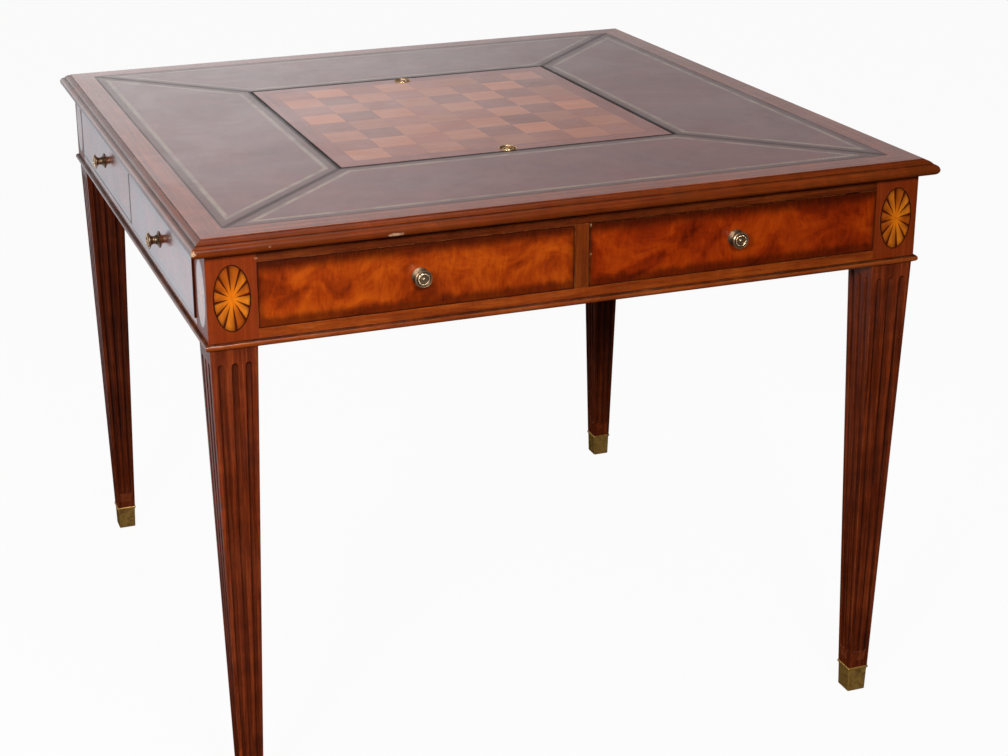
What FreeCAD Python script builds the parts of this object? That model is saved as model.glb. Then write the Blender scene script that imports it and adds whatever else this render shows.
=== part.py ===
"""Square games table: leather top, lift-out chess board over a backgammon well, four drawers.

Millimetres, +Z up. The origin is on the floor under the middle of the top.
The front is the -Y side. A shape made for the front side is turned about Z for the other sides.
"""
import FreeCAD, Part
import math
import os

V = FreeCAD.Vector

# Overall sizes
TABLE_SIDE = 965.0
TABLE_HEIGHT = 770.0

# Top: moulded border, leather panels and the opening for the lift-out board
TOP_THICKNESS = 20.0
TOP_OVERHANG = 18.5
BORDER_WIDTH = 47.0
MOULDING_REACH = 15.0
MOULDING_STEP = 1.2
OVOLO_DROP = 3.8
OVOLO_BULGE = 1.0
LEATHER_THICKNESS = 1.6
BOARD_GAP = 1.2

# Lift-out chess board
SQUARE = 51.5
SQUARES_PER_SIDE = 8
BOARD_BAND = 27.0
BOARD_VENEER = 1.5

# Ring pulls in the board
PULL_EDGE_DISTANCE = 14.0
PULL_RADIUS = 12.5
PULL_DEPTH = 6.0
PULL_RIM_HEIGHT = 0.8
PULL_RIM_WIDTH = 1.7
PULL_DISH_DEPTH = 4.2
PULL_BOSS_RADIUS = 4.6
PULL_BOSS_HEIGHT = 1.0
PULL_BOSS_SHOULDER = 1.5
PULL_SOCKET_CLEARANCE = 0.1
RING_OUTER_RADIUS = 8.2
RING_INNER_RADIUS = 5.7
RING_THICKNESS = 2.0
RING_CHAMFER = 0.5
RING_CENTRE_DEPTH = 1.6
RING_PIN_RADIUS = 0.8
RING_PIN_REACH = 9.8
RING_PIN_CLEARANCE = 0.12

# Backgammon well under the board
WELL_LEDGE = 12.0
WELL_WALL = 18.0
WELL_WALL_RISE = 4.5
WELL_DEPTH = 60.0
WELL_FLOOR_THICKNESS = 8.0
WELL_GROOVE_DEPTH = 6.0
WELL_BAR_WIDTH = 20.0
WELL_BAR_HEIGHT = 28.0
POINTS_PER_TABLE = 6
POINT_LENGTH = 165.0
POINT_THICKNESS = 1.0
POINT_TIP_WIDTH = 1.0

# Corner posts and legs
POST_WIDTH = 60.0
LEG_TOP_WIDTH = 57.5
LEG_FOOT_WIDTH = 27.1
FOOT_SHOULDER = 1.7
FLUTES_PER_FACE = 3
FLUTE_TOP_GAP = 22.5
FLUTE_BOTTOM_HEIGHT = 62.5
FLUTE_TOP_PITCH = 16.5
FLUTE_BOTTOM_PITCH = 8.6
FLUTE_TOP_RADIUS = 4.2
FLUTE_BOTTOM_RADIUS = 2.2
FLUTE_SIDES = 16
FLUTE_NOSE_STEPS = 3

# Brass ferrules
FERRULE_HEIGHT = 37.5
FERRULE_FLOOR = 2.0
FERRULE_WALL = 1.4
FERRULE_CLEARANCE = 0.05
FERRULE_RIM_HEIGHT = 3.5
FERRULE_RIM_PROJECTION = 1.3

# Oval fan paterae on the posts
PATERA_WIDTH = 45.0
PATERA_HEIGHT = 81.5
PATERA_STRINGING = 1.6
PATERA_THICKNESS = 1.2
PATERA_PETALS = 12
PATERA_TURN = 0.27

# Apron
APRON_HEIGHT = 117.5
RAIL_THICKNESS = 20.0
UPPER_RAIL_HEIGHT = 15.5
LOWER_RAIL_HEIGHT = 21.0
STILE_WIDTH = 19.0
PARTITION_THICKNESS = 16.0
BEAD_RADIUS = 4.4
BEAD_FOOT_GAP = 0.6
FALSE_FRONT_THICKNESS = 18.0
CORNER_BLOCK_LEG = 100.0

# Drawers
DRAWER_GAP = 0.8
DRAWER_REAR_CLEARANCE = 25.0
DRAWER_FRONT_THICKNESS = 18.0
DRAWER_SIDE_THICKNESS = 10.0
DRAWER_SIDE_INSET = 2.0
DRAWER_SIDE_DROP = 11.4
DRAWER_BACK_THICKNESS = 10.0
DRAWER_BACK_DROP = 4.0
DRAWER_BOTTOM_THICKNESS = 5.0
DRAWER_BOTTOM_RISE = 6.0
DRAWER_GROOVE_DEPTH = 4.0
DRAWER_GROOVE_CLEARANCE = 0.2
LEFT_DRAWER_AJAR = 2.5
RUNNER_WIDTH = 21.0
RUNNER_HEIGHT = 17.0

# Turned knobs: radius and distance from the drawer face at each turn of the profile
KNOB_ROSE_RADIUS = 10.6
KNOB_ROSE_EDGE = 0.9
KNOB_DOME_RISE = 3.9
KNOB_NECK_RADIUS = 6.4
KNOB_WAIST_RADIUS = 5.4
KNOB_CAP_RADIUS = 10.8
KNOB_CAP_RIM = 3.2
KNOB_CAP_CHAMFER = 1.0
KNOB_LENGTH = 16.0
KNOB_BEAD_RING_RADIUS = 7.9
KNOB_BEAD_RING_HEIGHT = 0.6
KNOB_DISH_RADIUS = 6.2
KNOB_DISH_DEPTH = 1.0
KNOB_BUTTON_RADIUS = 2.4
KNOB_BUTTON_HEIGHT = 1.4
KNOB_CURVE_STEPS = 6
KNOB_HOLLOW_POWER = 3

# Places worked out from the sizes above
HALF = TABLE_SIDE / 2
FACE = HALF - TOP_OVERHANG
TOP_UNDERSIDE = TABLE_HEIGHT - TOP_THICKNESS
LEG_HEIGHT = TOP_UNDERSIDE - APRON_HEIGHT
LEATHER_EDGE = HALF - BORDER_WIDTH
BOARD_HALF = SQUARE * SQUARES_PER_SIDE / 2 + BOARD_BAND
OPENING_HALF = BOARD_HALF + BOARD_GAP
POST_INNER = FACE - POST_WIDTH
POST_AXIS = FACE - POST_WIDTH / 2
RAIL_INNER = FACE - RAIL_THICKNESS
BAY_TOP = TOP_UNDERSIDE - UPPER_RAIL_HEIGHT
BAY_BOTTOM = LEG_HEIGHT + LOWER_RAIL_HEIGHT
BAY_MIDDLE = (BAY_TOP + BAY_BOTTOM) / 2
WELL_INNER = BOARD_HALF - WELL_LEDGE
WELL_OUTER = WELL_INNER + WELL_WALL
WELL_FLOOR_TOP = TOP_UNDERSIDE - WELL_DEPTH
WELL_WALL_BOTTOM = LEG_HEIGHT + WELL_WALL_RISE
DRAWER_LEFT = STILE_WIDTH / 2 + DRAWER_GAP
DRAWER_RIGHT = POST_INNER - DRAWER_GAP
DRAWER_BOTTOM_EDGE = BAY_BOTTOM + DRAWER_GAP
DRAWER_TOP_EDGE = BAY_TOP - DRAWER_GAP
DRAWER_SIDE_TOP = DRAWER_TOP_EDGE - DRAWER_SIDE_DROP
DRAWER_FRONT_REAR = -FACE + DRAWER_FRONT_THICKNESS
DRAWER_REAR = -WELL_OUTER - DRAWER_REAR_CLEARANCE
KNOB_PLACE = (DRAWER_LEFT + DRAWER_RIGHT) / 2

SIDES = ["front", "right", "back", "left"]
CORNERS = ["front_left", "front_right", "back_right", "back_left"]


def block(x0, x1, y0, y1, z0, z1):
    """Rectangular board between two corners."""
    return Part.makeBox(x1 - x0, y1 - y0, z1 - z0, V(x0, y0, z0))


def turned(shape, quarters):
    """Copy of a shape turned about the table's upright axis by quarter turns."""
    copy = shape.copy()
    copy.rotate(V(0, 0, 0), V(0, 0, 1), 90.0 * quarters)
    return copy


def on_four_sides(shape):
    """The shape and its three turned copies, as separate solids."""
    return Part.makeCompound([turned(shape, quarters) for quarters in range(4)])


def flat_face(corners):
    """Flat face on a closed polygon of points."""
    return Part.Face(Part.makePolygon(corners + corners[:1]))


def prism(points, z0, z1):
    """Upright prism on a polygon of (x, y) points."""
    return flat_face([V(x, y, z0) for x, y in points]).extrude(V(0, 0, z1 - z0))


def front_wedge(z0, z1):
    """Quarter of the plan, cut along its mitre lines, that holds the front side."""
    reach = TABLE_SIDE
    return prism([(0, 0), (-reach, -reach), (reach, -reach)], z0, z1)


def mitred_trapezoid(inner, outer, z0, z1):
    """Flat mitred board on the front side, between two squares of the plan."""
    return prism([(-inner, -inner), (-outer, -outer), (outer, -outer), (inner, -inner)], z0, z1)


def top_border():
    """Border of the front side with its stepped ovolo and rounded nose."""
    flat_end = LEATHER_EDGE + BORDER_WIDTH - MOULDING_REACH
    ovolo_top = TABLE_HEIGHT - MOULDING_STEP
    ovolo_end = ovolo_top - OVOLO_DROP
    nose_top = ovolo_end - MOULDING_STEP
    nose_radius = (nose_top - TOP_UNDERSIDE) / 2
    nose_line = HALF - nose_radius
    start = V(0, -LEATHER_EDGE, TOP_UNDERSIDE)
    flat_start = V(0, -LEATHER_EDGE, TABLE_HEIGHT)
    flat_stop = V(0, -flat_end, TABLE_HEIGHT)
    ovolo_start = V(0, -flat_end, ovolo_top)
    ovolo_middle = V(0, -(flat_end + nose_line) / 2, (ovolo_top + ovolo_end) / 2 + OVOLO_BULGE)
    ovolo_stop = V(0, -nose_line, ovolo_end)
    nose_start = V(0, -nose_line, nose_top)
    nose_tip = V(0, -HALF, nose_top - nose_radius)
    nose_stop = V(0, -nose_line, TOP_UNDERSIDE)
    edges = [
        Part.LineSegment(start, flat_start).toShape(),
        Part.LineSegment(flat_start, flat_stop).toShape(),
        Part.LineSegment(flat_stop, ovolo_start).toShape(),
        Part.Arc(ovolo_start, ovolo_middle, ovolo_stop).toShape(),
        Part.LineSegment(ovolo_stop, nose_start).toShape(),
        Part.Arc(nose_start, nose_tip, nose_stop).toShape(),
        Part.LineSegment(nose_stop, start).toShape(),
    ]
    profile = Part.Face(Part.Wire(edges))
    profile.translate(V(-HALF, 0, 0))
    strip = profile.extrude(V(TABLE_SIDE, 0, 0))
    return strip.common(front_wedge(TOP_UNDERSIDE, TABLE_HEIGHT))


def top_ground():
    """Board under the front leather panel, reaching in to the edge of the opening."""
    return mitred_trapezoid(OPENING_HALF, LEATHER_EDGE, TOP_UNDERSIDE, TABLE_HEIGHT - LEATHER_THICKNESS)


def leather_panel():
    """Leather of the front side, flush with the border."""
    return mitred_trapezoid(OPENING_HALF, LEATHER_EDGE, TABLE_HEIGHT - LEATHER_THICKNESS, TABLE_HEIGHT)


def pull_socket():
    """Round hole in the board for the front pull."""
    radius = PULL_RADIUS + PULL_SOCKET_CLEARANCE
    depth = TABLE_HEIGHT - PULL_DEPTH
    centre = V(0, PULL_EDGE_DISTANCE - BOARD_HALF, depth)
    return Part.makeCylinder(radius, PULL_DEPTH, centre)


def pull_sockets():
    """Both pull holes."""
    return Part.makeCompound([pull_socket(), turned(pull_socket(), 2)])


def board_core():
    """Core of the chess board, without its veneers."""
    top = TABLE_HEIGHT - BOARD_VENEER
    core = block(-BOARD_HALF, BOARD_HALF, -BOARD_HALF, BOARD_HALF, TOP_UNDERSIDE, top)
    return core.cut(pull_sockets())


def board_squares(parity):
    """Squares of one colour; parity 0 holds the square at the front left."""
    field = SQUARE * SQUARES_PER_SIDE / 2
    squares = []
    for row in range(SQUARES_PER_SIDE):
        for column in range(SQUARES_PER_SIDE):
            if (row + column) % 2 == parity:
                x = -field + column * SQUARE
                y = -field + row * SQUARE
                z = TABLE_HEIGHT - BOARD_VENEER
                squares.append(block(x, x + SQUARE, y, y + SQUARE, z, TABLE_HEIGHT))
    return Part.makeCompound(squares).cut(pull_sockets())


def board_banding():
    """Mitred cross-banding round the squares, cut out for the pulls."""
    field = SQUARE * SQUARES_PER_SIDE / 2
    strip = mitred_trapezoid(field, BOARD_HALF, TABLE_HEIGHT - BOARD_VENEER, TABLE_HEIGHT)
    notched = strip.cut(pull_socket())
    return Part.makeCompound([notched, turned(strip, 1), turned(notched, 2), turned(strip, 3)])


def revolved(points, centre):
    """Turned solid about an upright axis through a point, from (radius, height) points."""
    face = flat_face([V(radius, 0, height) for radius, height in points])
    solid = face.revolve(V(0, 0, 0), V(0, 0, 1), 360.0)
    solid.translate(centre)
    return solid


def pull_centre():
    """Middle of the front pull, at the height of the playing surface."""
    return V(0, PULL_EDGE_DISTANCE - BOARD_HALF, TABLE_HEIGHT)


def ring_pin(radius, reach):
    """Pivot of the front ring, along X, on the side near the board's edge."""
    offset = (RING_OUTER_RADIUS + RING_INNER_RADIUS) / 2
    start = pull_centre() + V(-reach, -offset, -RING_CENTRE_DEPTH)
    return Part.makeCylinder(radius, 2 * reach, start, V(1, 0, 0))


def pull_plate():
    """Dished round plate with a centre boss, bored for the ring's pivot."""
    dish = PULL_RADIUS - PULL_RIM_WIDTH
    points = [
        (0, -PULL_DEPTH),
        (PULL_RADIUS, -PULL_DEPTH),
        (PULL_RADIUS, 0),
        (PULL_RADIUS - PULL_RIM_HEIGHT / 2, PULL_RIM_HEIGHT),
        (dish, PULL_RIM_HEIGHT),
        (dish, -PULL_DISH_DEPTH),
        (PULL_BOSS_RADIUS, -PULL_DISH_DEPTH),
        (PULL_BOSS_RADIUS, 0),
        (PULL_BOSS_RADIUS - PULL_BOSS_SHOULDER, PULL_BOSS_HEIGHT),
        (0, PULL_BOSS_HEIGHT),
    ]
    plate = revolved(points, pull_centre())
    bore = ring_pin(RING_PIN_RADIUS + RING_PIN_CLEARANCE, RING_PIN_REACH + RING_PIN_CLEARANCE)
    boss = Part.makeCylinder(PULL_BOSS_RADIUS, PULL_DEPTH, pull_centre() - V(0, 0, PULL_DEPTH))
    return plate.cut(bore.cut(boss))


def pull_ring():
    """Chamfered flat ring with its pivot, lying in the dish."""
    half = RING_THICKNESS / 2
    points = [
        (RING_INNER_RADIUS, RING_CHAMFER - half),
        (RING_INNER_RADIUS + RING_CHAMFER, -half),
        (RING_OUTER_RADIUS - RING_CHAMFER, -half),
        (RING_OUTER_RADIUS, RING_CHAMFER - half),
        (RING_OUTER_RADIUS, half - RING_CHAMFER),
        (RING_OUTER_RADIUS - RING_CHAMFER, half),
        (RING_INNER_RADIUS + RING_CHAMFER, half),
        (RING_INNER_RADIUS, half - RING_CHAMFER),
    ]
    centre = pull_centre() - V(0, 0, RING_CENTRE_DEPTH)
    ring = revolved(points, centre)
    bore = Part.makeCylinder(RING_INNER_RADIUS, RING_THICKNESS, centre - V(0, 0, half))
    return ring.fuse(ring_pin(RING_PIN_RADIUS, RING_PIN_REACH).cut(bore)).removeSplitter()


def well_floor():
    """Floor of the well, let into the walls all round."""
    reach = WELL_INNER + WELL_GROOVE_DEPTH
    return block(-reach, reach, -reach, reach, WELL_FLOOR_TOP - WELL_FLOOR_THICKNESS, WELL_FLOOR_TOP)


def well_wall():
    """Front wall of the well, running on at one end to the rail of the next side."""
    wall = block(-WELL_INNER, RAIL_INNER, -WELL_OUTER, -WELL_INNER, WELL_WALL_BOTTOM, TOP_UNDERSIDE)
    return wall.cut(well_floor())


def well_bar():
    """Bar across the middle of the well."""
    half = WELL_BAR_WIDTH / 2
    top = WELL_FLOOR_TOP + WELL_BAR_HEIGHT
    return block(-half, half, -WELL_INNER, WELL_INNER, WELL_FLOOR_TOP, top)


def backgammon_points(parity):
    """Inlaid points of one colour, along the front and the back of the well."""
    start = WELL_BAR_WIDTH / 2
    width = (WELL_INNER - start) / POINTS_PER_TABLE
    base = -WELL_INNER
    tip = base + POINT_LENGTH
    points = []
    for table in (0, 1):
        for index in range(POINTS_PER_TABLE):
            if (index + table) % 2 == parity:
                x = start + index * width - table * (WELL_INNER + start)
                middle = x + width / 2
                outline = [
                    (x, base),
                    (x + width, base),
                    (middle + POINT_TIP_WIDTH / 2, tip),
                    (middle - POINT_TIP_WIDTH / 2, tip),
                ]
                point = prism(outline, WELL_FLOOR_TOP, WELL_FLOOR_TOP + POINT_THICKNESS)
                points.append(point)
                points.append(turned(point, 2))
    return Part.makeCompound(points)


def leg_width(z):
    """Width of the tapered leg at a height."""
    share = (z - FERRULE_FLOOR) / (LEG_HEIGHT - FERRULE_FLOOR)
    return LEG_FOOT_WIDTH + (LEG_TOP_WIDTH - LEG_FOOT_WIDTH) * share


def foot_width(z):
    """Width of the foot inside the ferrule at a height: the leg's taper, set in by a shoulder all round."""
    return leg_width(z) - 2 * FOOT_SHOULDER


def square_corners(width, z):
    """Corners of a level square round the upright axis."""
    half = width / 2
    return [V(-half, -half, z), V(half, -half, z), V(half, half, z), V(-half, half, z)]


def taper(width_low, z_low, width_high, z_high):
    """Square tapered solid with flat faces round the upright axis."""
    low = square_corners(width_low, z_low)
    high = square_corners(width_high, z_high)
    faces = [flat_face(low), flat_face(high)]
    for index in range(4):
        after = (index + 1) % 4
        faces.append(flat_face([low[index], low[after], high[after], high[index]]))
    return Part.Solid(Part.Shell(faces))


def facet_ring(radius, height):
    """Points round the upright axis at the corners of a flute's many-sided section."""
    step = 2 * math.pi / FLUTE_SIDES
    angles = [index * step for index in range(FLUTE_SIDES)]
    return [V(radius * math.cos(angle), radius * math.sin(angle), height) for angle in angles]


def flute_rings(length):
    """Sections of a flute from its low nose to its high nose, along the upright axis."""
    nose_angles = [step * math.pi / 2 / FLUTE_NOSE_STEPS for step in range(FLUTE_NOSE_STEPS)]
    rings = []
    for angle in reversed(nose_angles):
        low = -FLUTE_BOTTOM_RADIUS * math.sin(angle)
        rings.append(facet_ring(FLUTE_BOTTOM_RADIUS * math.cos(angle), low))
    for angle in nose_angles:
        high = length + FLUTE_TOP_RADIUS * math.sin(angle)
        rings.append(facet_ring(FLUTE_TOP_RADIUS * math.cos(angle), high))
    return rings


def flute(number):
    """Round-nosed tapered cutter on the front face of a leg that stands on the upright axis."""
    z_high = LEG_HEIGHT - FLUTE_TOP_GAP
    z_low = FLUTE_BOTTOM_HEIGHT
    place = number - (FLUTES_PER_FACE - 1) / 2
    high = V(place * FLUTE_TOP_PITCH, -leg_width(z_high) / 2, z_high)
    low = V(place * FLUTE_BOTTOM_PITCH, -leg_width(z_low) / 2, z_low)
    length = (high - low).Length
    rings = flute_rings(length)
    low_tip = V(0, 0, -FLUTE_BOTTOM_RADIUS)
    high_tip = V(0, 0, length + FLUTE_TOP_RADIUS)
    faces = []
    for index in range(FLUTE_SIDES):
        after = (index + 1) % FLUTE_SIDES
        faces.append(flat_face([low_tip, rings[0][after], rings[0][index]]))
        for lower, upper in zip(rings, rings[1:]):
            faces.append(flat_face([lower[index], lower[after], upper[after], upper[index]]))
        faces.append(flat_face([high_tip, rings[-1][index], rings[-1][after]]))
    cutter = Part.Solid(Part.Shell(faces))
    cutter.Placement = FreeCAD.Placement(low, FreeCAD.Rotation(V(0, 0, 1), high - low))
    return cutter


def patera_blank(shrink, z0, z1):
    """Oval disc lying flat round the upright axis, smaller than the inlay by a margin."""
    major = PATERA_HEIGHT / 2 - shrink
    minor = PATERA_WIDTH / 2 - shrink
    outline = Part.Ellipse(V(0, 0, z0), major, minor).toShape()
    return Part.Face(Part.Wire(outline)).extrude(V(0, 0, z1 - z0))


def set_on_post(shape):
    """Stands a flat inlay up in the front face of a post that stands on the upright axis."""
    shape.rotate(V(0, 0, 0), V(0, 0, 1), 90.0)
    shape.rotate(V(0, 0, 0), V(1, 0, 0), 90.0)
    shape.translate(V(0, PATERA_THICKNESS - POST_WIDTH / 2, BAY_MIDDLE))
    return shape


def patera_stringing():
    """Dark oval line, one oval."""
    outer = patera_blank(0, 0, PATERA_THICKNESS)
    inner = patera_blank(PATERA_STRINGING, 0, PATERA_THICKNESS)
    return set_on_post(outer.cut(inner))


def petal_edges():
    """Ends of the joints between petals, past the rim, which the petals share in equal lengths.

    The fan is turned clockwise by a share of one petal.
    """
    rim = Part.Ellipse(V(0, 0, 0), PATERA_HEIGHT / 2, PATERA_WIDTH / 2).toShape()
    ends = []
    for index in range(PATERA_PETALS + 1):
        share = ((index - 0.5 - PATERA_TURN) / PATERA_PETALS) % 1
        point = rim.valueAt(rim.getParameterByLength(rim.Length * share))
        ends.append((2 * point.x, 2 * point.y))
    return ends


def patera_fan():
    """Petals of one oval."""
    oval = patera_blank(PATERA_STRINGING, 0, PATERA_THICKNESS)
    ends = petal_edges()
    petals = []
    for first, last in zip(ends, ends[1:]):
        sector = prism([(0, 0), first, last], 0, PATERA_THICKNESS)
        petals.append(set_on_post(oval.common(sector)))
    return Part.makeCompound(petals)


def at_corner(shape, corner):
    """Moves a shape from the upright axis to a corner post, turned so its front faces outward."""
    copy = shape.copy()
    copy.translate(V(-POST_AXIS, -POST_AXIS, 0))
    return turned(copy, corner)


def outer_faces(shape):
    """A front-face inlay and its copy on the other outer face of the front-left post."""
    return [shape, turned(shape, 3)]


def on_posts(shape):
    """An inlay on the two outer faces of every post."""
    copies = []
    for corner in range(len(CORNERS)):
        for face in outer_faces(shape):
            copies.append(at_corner(face, corner))
    return Part.makeCompound(copies)


def leg():
    """Leg and post in one piece, round the upright axis: footed, tapered, fluted, recessed for its ovals."""
    shoulder = FERRULE_HEIGHT + FERRULE_CLEARANCE
    foot = taper(foot_width(FERRULE_FLOOR), FERRULE_FLOOR, foot_width(shoulder), shoulder)
    tapered = taper(leg_width(shoulder), shoulder, LEG_TOP_WIDTH, LEG_HEIGHT)
    half = POST_WIDTH / 2
    post = block(-half, half, -half, half, LEG_HEIGHT, TOP_UNDERSIDE)
    cutters = []
    for number in range(FLUTES_PER_FACE):
        for quarters in range(4):
            cutters.append(turned(flute(number), quarters))
    tapered = tapered.cut(Part.makeCompound(cutters))
    recess = set_on_post(patera_blank(0, 0, PATERA_THICKNESS))
    post = post.cut(Part.makeCompound(outer_faces(recess)))
    return foot.fuse(tapered).fuse(post)


def ferrule():
    """Square brass cup on a foot, with a rim round its mouth."""
    wall = 2 * FERRULE_WALL
    shell = taper(foot_width(0) + wall, 0, foot_width(FERRULE_HEIGHT) + wall, FERRULE_HEIGHT)
    rim_low = FERRULE_HEIGHT - FERRULE_RIM_HEIGHT
    rim_width = foot_width(FERRULE_HEIGHT) + wall + 2 * FERRULE_RIM_PROJECTION
    rim = taper(rim_width, rim_low, rim_width, FERRULE_HEIGHT)
    room = 2 * FERRULE_CLEARANCE
    mouth = FERRULE_HEIGHT
    cavity = taper(foot_width(FERRULE_FLOOR) + room, FERRULE_FLOOR, foot_width(mouth) + room, mouth)
    return shell.fuse(rim).removeSplitter().cut(cavity)


def upper_rail():
    """Rail over the front drawers."""
    return block(-POST_INNER, POST_INNER, -FACE, -RAIL_INNER, BAY_TOP, TOP_UNDERSIDE)


def lower_rail():
    """Rail under the front drawers."""
    return block(-POST_INNER, POST_INNER, -FACE, -RAIL_INNER, LEG_HEIGHT, BAY_BOTTOM)


def stile():
    """Upright between the two fronts of a side."""
    half = STILE_WIDTH / 2
    return block(-half, half, -FACE, -RAIL_INNER, BAY_BOTTOM, BAY_TOP)


def partition():
    """Board from the stile back to the well, beside the drawer."""
    half = PARTITION_THICKNESS / 2
    return block(-half, half, -RAIL_INNER, -WELL_OUTER, WELL_WALL_BOTTOM, TOP_UNDERSIDE)


def bead():
    """Half-round moulding along the foot of the front apron, mitred at the corners."""
    low = LEG_HEIGHT + BEAD_FOOT_GAP
    middle = low + BEAD_RADIUS
    high = middle + BEAD_RADIUS
    reach = FACE + BEAD_RADIUS
    edges = [
        Part.LineSegment(V(-reach, -FACE, high), V(-reach, -FACE, low)).toShape(),
        Part.Arc(V(-reach, -FACE, low), V(-reach, -reach, middle), V(-reach, -FACE, high)).toShape(),
    ]
    strip = Part.Face(Part.Wire(edges)).extrude(V(2 * reach, 0, 0))
    return strip.common(front_wedge(low, high))


def false_front():
    """Fixed front beside the drawer, filling its bay."""
    right = -STILE_WIDTH / 2
    back = -FACE + FALSE_FRONT_THICKNESS
    return block(-POST_INNER, right, -FACE, back, BAY_BOTTOM, BAY_TOP)


def corner_block():
    """Block under the top, round the inner corner of the front-left post."""
    far = CORNER_BLOCK_LEG - RAIL_INNER
    outline = [
        (-POST_INNER, -RAIL_INNER),
        (far, -RAIL_INNER),
        (-RAIL_INNER, far),
        (-RAIL_INNER, -POST_INNER),
        (-POST_INNER, -POST_INNER),
    ]
    return prism(outline, BAY_TOP, TOP_UNDERSIDE)


def runners():
    """Two bearers under a front drawer, from the lower rail back to the well wall."""
    top = DRAWER_BOTTOM_EDGE
    bottom = top - RUNNER_HEIGHT
    near = PARTITION_THICKNESS / 2
    far = POST_INNER - RUNNER_WIDTH
    return [
        block(near, near + RUNNER_WIDTH, -RAIL_INNER, -WELL_OUTER, bottom, top),
        block(far, far + RUNNER_WIDTH, -RAIL_INNER, -WELL_OUTER, bottom, top),
    ]


def drawer_runners():
    """Bearers of all four drawers."""
    return Part.makeCompound([turned(runner, side) for side in range(4) for runner in runners()])


def drawer_bottom():
    """Bottom panel of the front drawer, let into its front and sides."""
    slack = DRAWER_GROOVE_DEPTH - DRAWER_GROOVE_CLEARANCE
    left = DRAWER_LEFT + DRAWER_SIDE_INSET + DRAWER_SIDE_THICKNESS - slack
    right = DRAWER_RIGHT - DRAWER_SIDE_INSET - DRAWER_SIDE_THICKNESS + slack
    z = DRAWER_BOTTOM_EDGE + DRAWER_BOTTOM_RISE
    front = DRAWER_FRONT_REAR - slack
    return block(left, right, front, DRAWER_REAR, z, z + DRAWER_BOTTOM_THICKNESS)


def drawer_groove():
    """Room for the bottom panel in the front and the sides."""
    left = DRAWER_LEFT + DRAWER_SIDE_INSET + DRAWER_SIDE_THICKNESS - DRAWER_GROOVE_DEPTH
    right = DRAWER_RIGHT - DRAWER_SIDE_INSET - DRAWER_SIDE_THICKNESS + DRAWER_GROOVE_DEPTH
    z = DRAWER_BOTTOM_EDGE + DRAWER_BOTTOM_RISE
    top = z + DRAWER_BOTTOM_THICKNESS + DRAWER_GROOVE_CLEARANCE
    return block(left, right, DRAWER_FRONT_REAR - DRAWER_GROOVE_DEPTH, DRAWER_REAR, z, top)


def drawer_front():
    """Front board of the front drawer."""
    board = block(DRAWER_LEFT, DRAWER_RIGHT, -FACE, DRAWER_FRONT_REAR, DRAWER_BOTTOM_EDGE, DRAWER_TOP_EDGE)
    return board.cut(drawer_groove())


def drawer_sides():
    """Both sides of the front drawer."""
    left = DRAWER_LEFT + DRAWER_SIDE_INSET
    right = DRAWER_RIGHT - DRAWER_SIDE_INSET
    sides = []
    for x in (left, right - DRAWER_SIDE_THICKNESS):
        end = x + DRAWER_SIDE_THICKNESS
        side = block(x, end, DRAWER_FRONT_REAR, DRAWER_REAR, DRAWER_BOTTOM_EDGE, DRAWER_SIDE_TOP)
        sides.append(side.cut(drawer_groove()))
    return Part.makeCompound(sides)


def drawer_back():
    """Back of the front drawer, between its sides and over its bottom panel."""
    left = DRAWER_LEFT + DRAWER_SIDE_INSET + DRAWER_SIDE_THICKNESS
    right = DRAWER_RIGHT - DRAWER_SIDE_INSET - DRAWER_SIDE_THICKNESS
    bottom = DRAWER_BOTTOM_EDGE + DRAWER_BOTTOM_RISE + DRAWER_BOTTOM_THICKNESS
    top = DRAWER_SIDE_TOP - DRAWER_BACK_DROP
    return block(left, right, DRAWER_REAR - DRAWER_BACK_THICKNESS, DRAWER_REAR, bottom, top)


def dome(edge_radius, low, top_radius, high):
    """Points of a turned quarter round from its edge up to a smaller radius."""
    points = []
    for step in range(KNOB_CURVE_STEPS + 1):
        angle = math.pi / 2 * step / KNOB_CURVE_STEPS
        radius = top_radius + (edge_radius - top_radius) * math.cos(angle)
        points.append((radius, low + (high - low) * math.sin(angle)))
    return points


def hollow(low_radius, low, waist_radius, high_radius, high):
    """Points of a turned hollow between two edges, narrowing to a waist half way, without its low edge."""
    points = []
    for step in range(1, KNOB_CURVE_STEPS + 1):
        share = step / KNOB_CURVE_STEPS
        edge_radius = low_radius if share < 0.5 else high_radius
        fullness = abs(2 * share - 1) ** KNOB_HOLLOW_POWER
        points.append((waist_radius + (edge_radius - waist_radius) * fullness, low + (high - low) * share))
    return points


def knob(x):
    """Turned brass knob on a front at a distance from the middle of the side."""
    dome_top = KNOB_ROSE_EDGE + KNOB_DOME_RISE
    cap_start = KNOB_LENGTH - KNOB_CAP_RIM
    dish = KNOB_LENGTH - KNOB_DISH_DEPTH
    points = [(0, 0), (KNOB_ROSE_RADIUS, 0)]
    points += dome(KNOB_ROSE_RADIUS, KNOB_ROSE_EDGE, KNOB_NECK_RADIUS, dome_top)
    points += hollow(KNOB_NECK_RADIUS, dome_top, KNOB_WAIST_RADIUS, KNOB_CAP_RADIUS, cap_start)
    points += [
        (KNOB_CAP_RADIUS, KNOB_LENGTH - KNOB_CAP_CHAMFER),
        (KNOB_CAP_RADIUS - KNOB_CAP_CHAMFER, KNOB_LENGTH),
        (KNOB_BEAD_RING_RADIUS + KNOB_BEAD_RING_HEIGHT, KNOB_LENGTH),
        (KNOB_BEAD_RING_RADIUS, KNOB_LENGTH + KNOB_BEAD_RING_HEIGHT),
        (KNOB_DISH_RADIUS, dish),
        (KNOB_BUTTON_RADIUS, dish),
        (0, dish + KNOB_BUTTON_HEIGHT),
    ]
    solid = revolved(points, V(0, 0, 0))
    solid.rotate(V(0, 0, 0), V(1, 0, 0), 90.0)
    solid.translate(V(x, -FACE, BAY_MIDDLE))
    return solid


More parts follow.
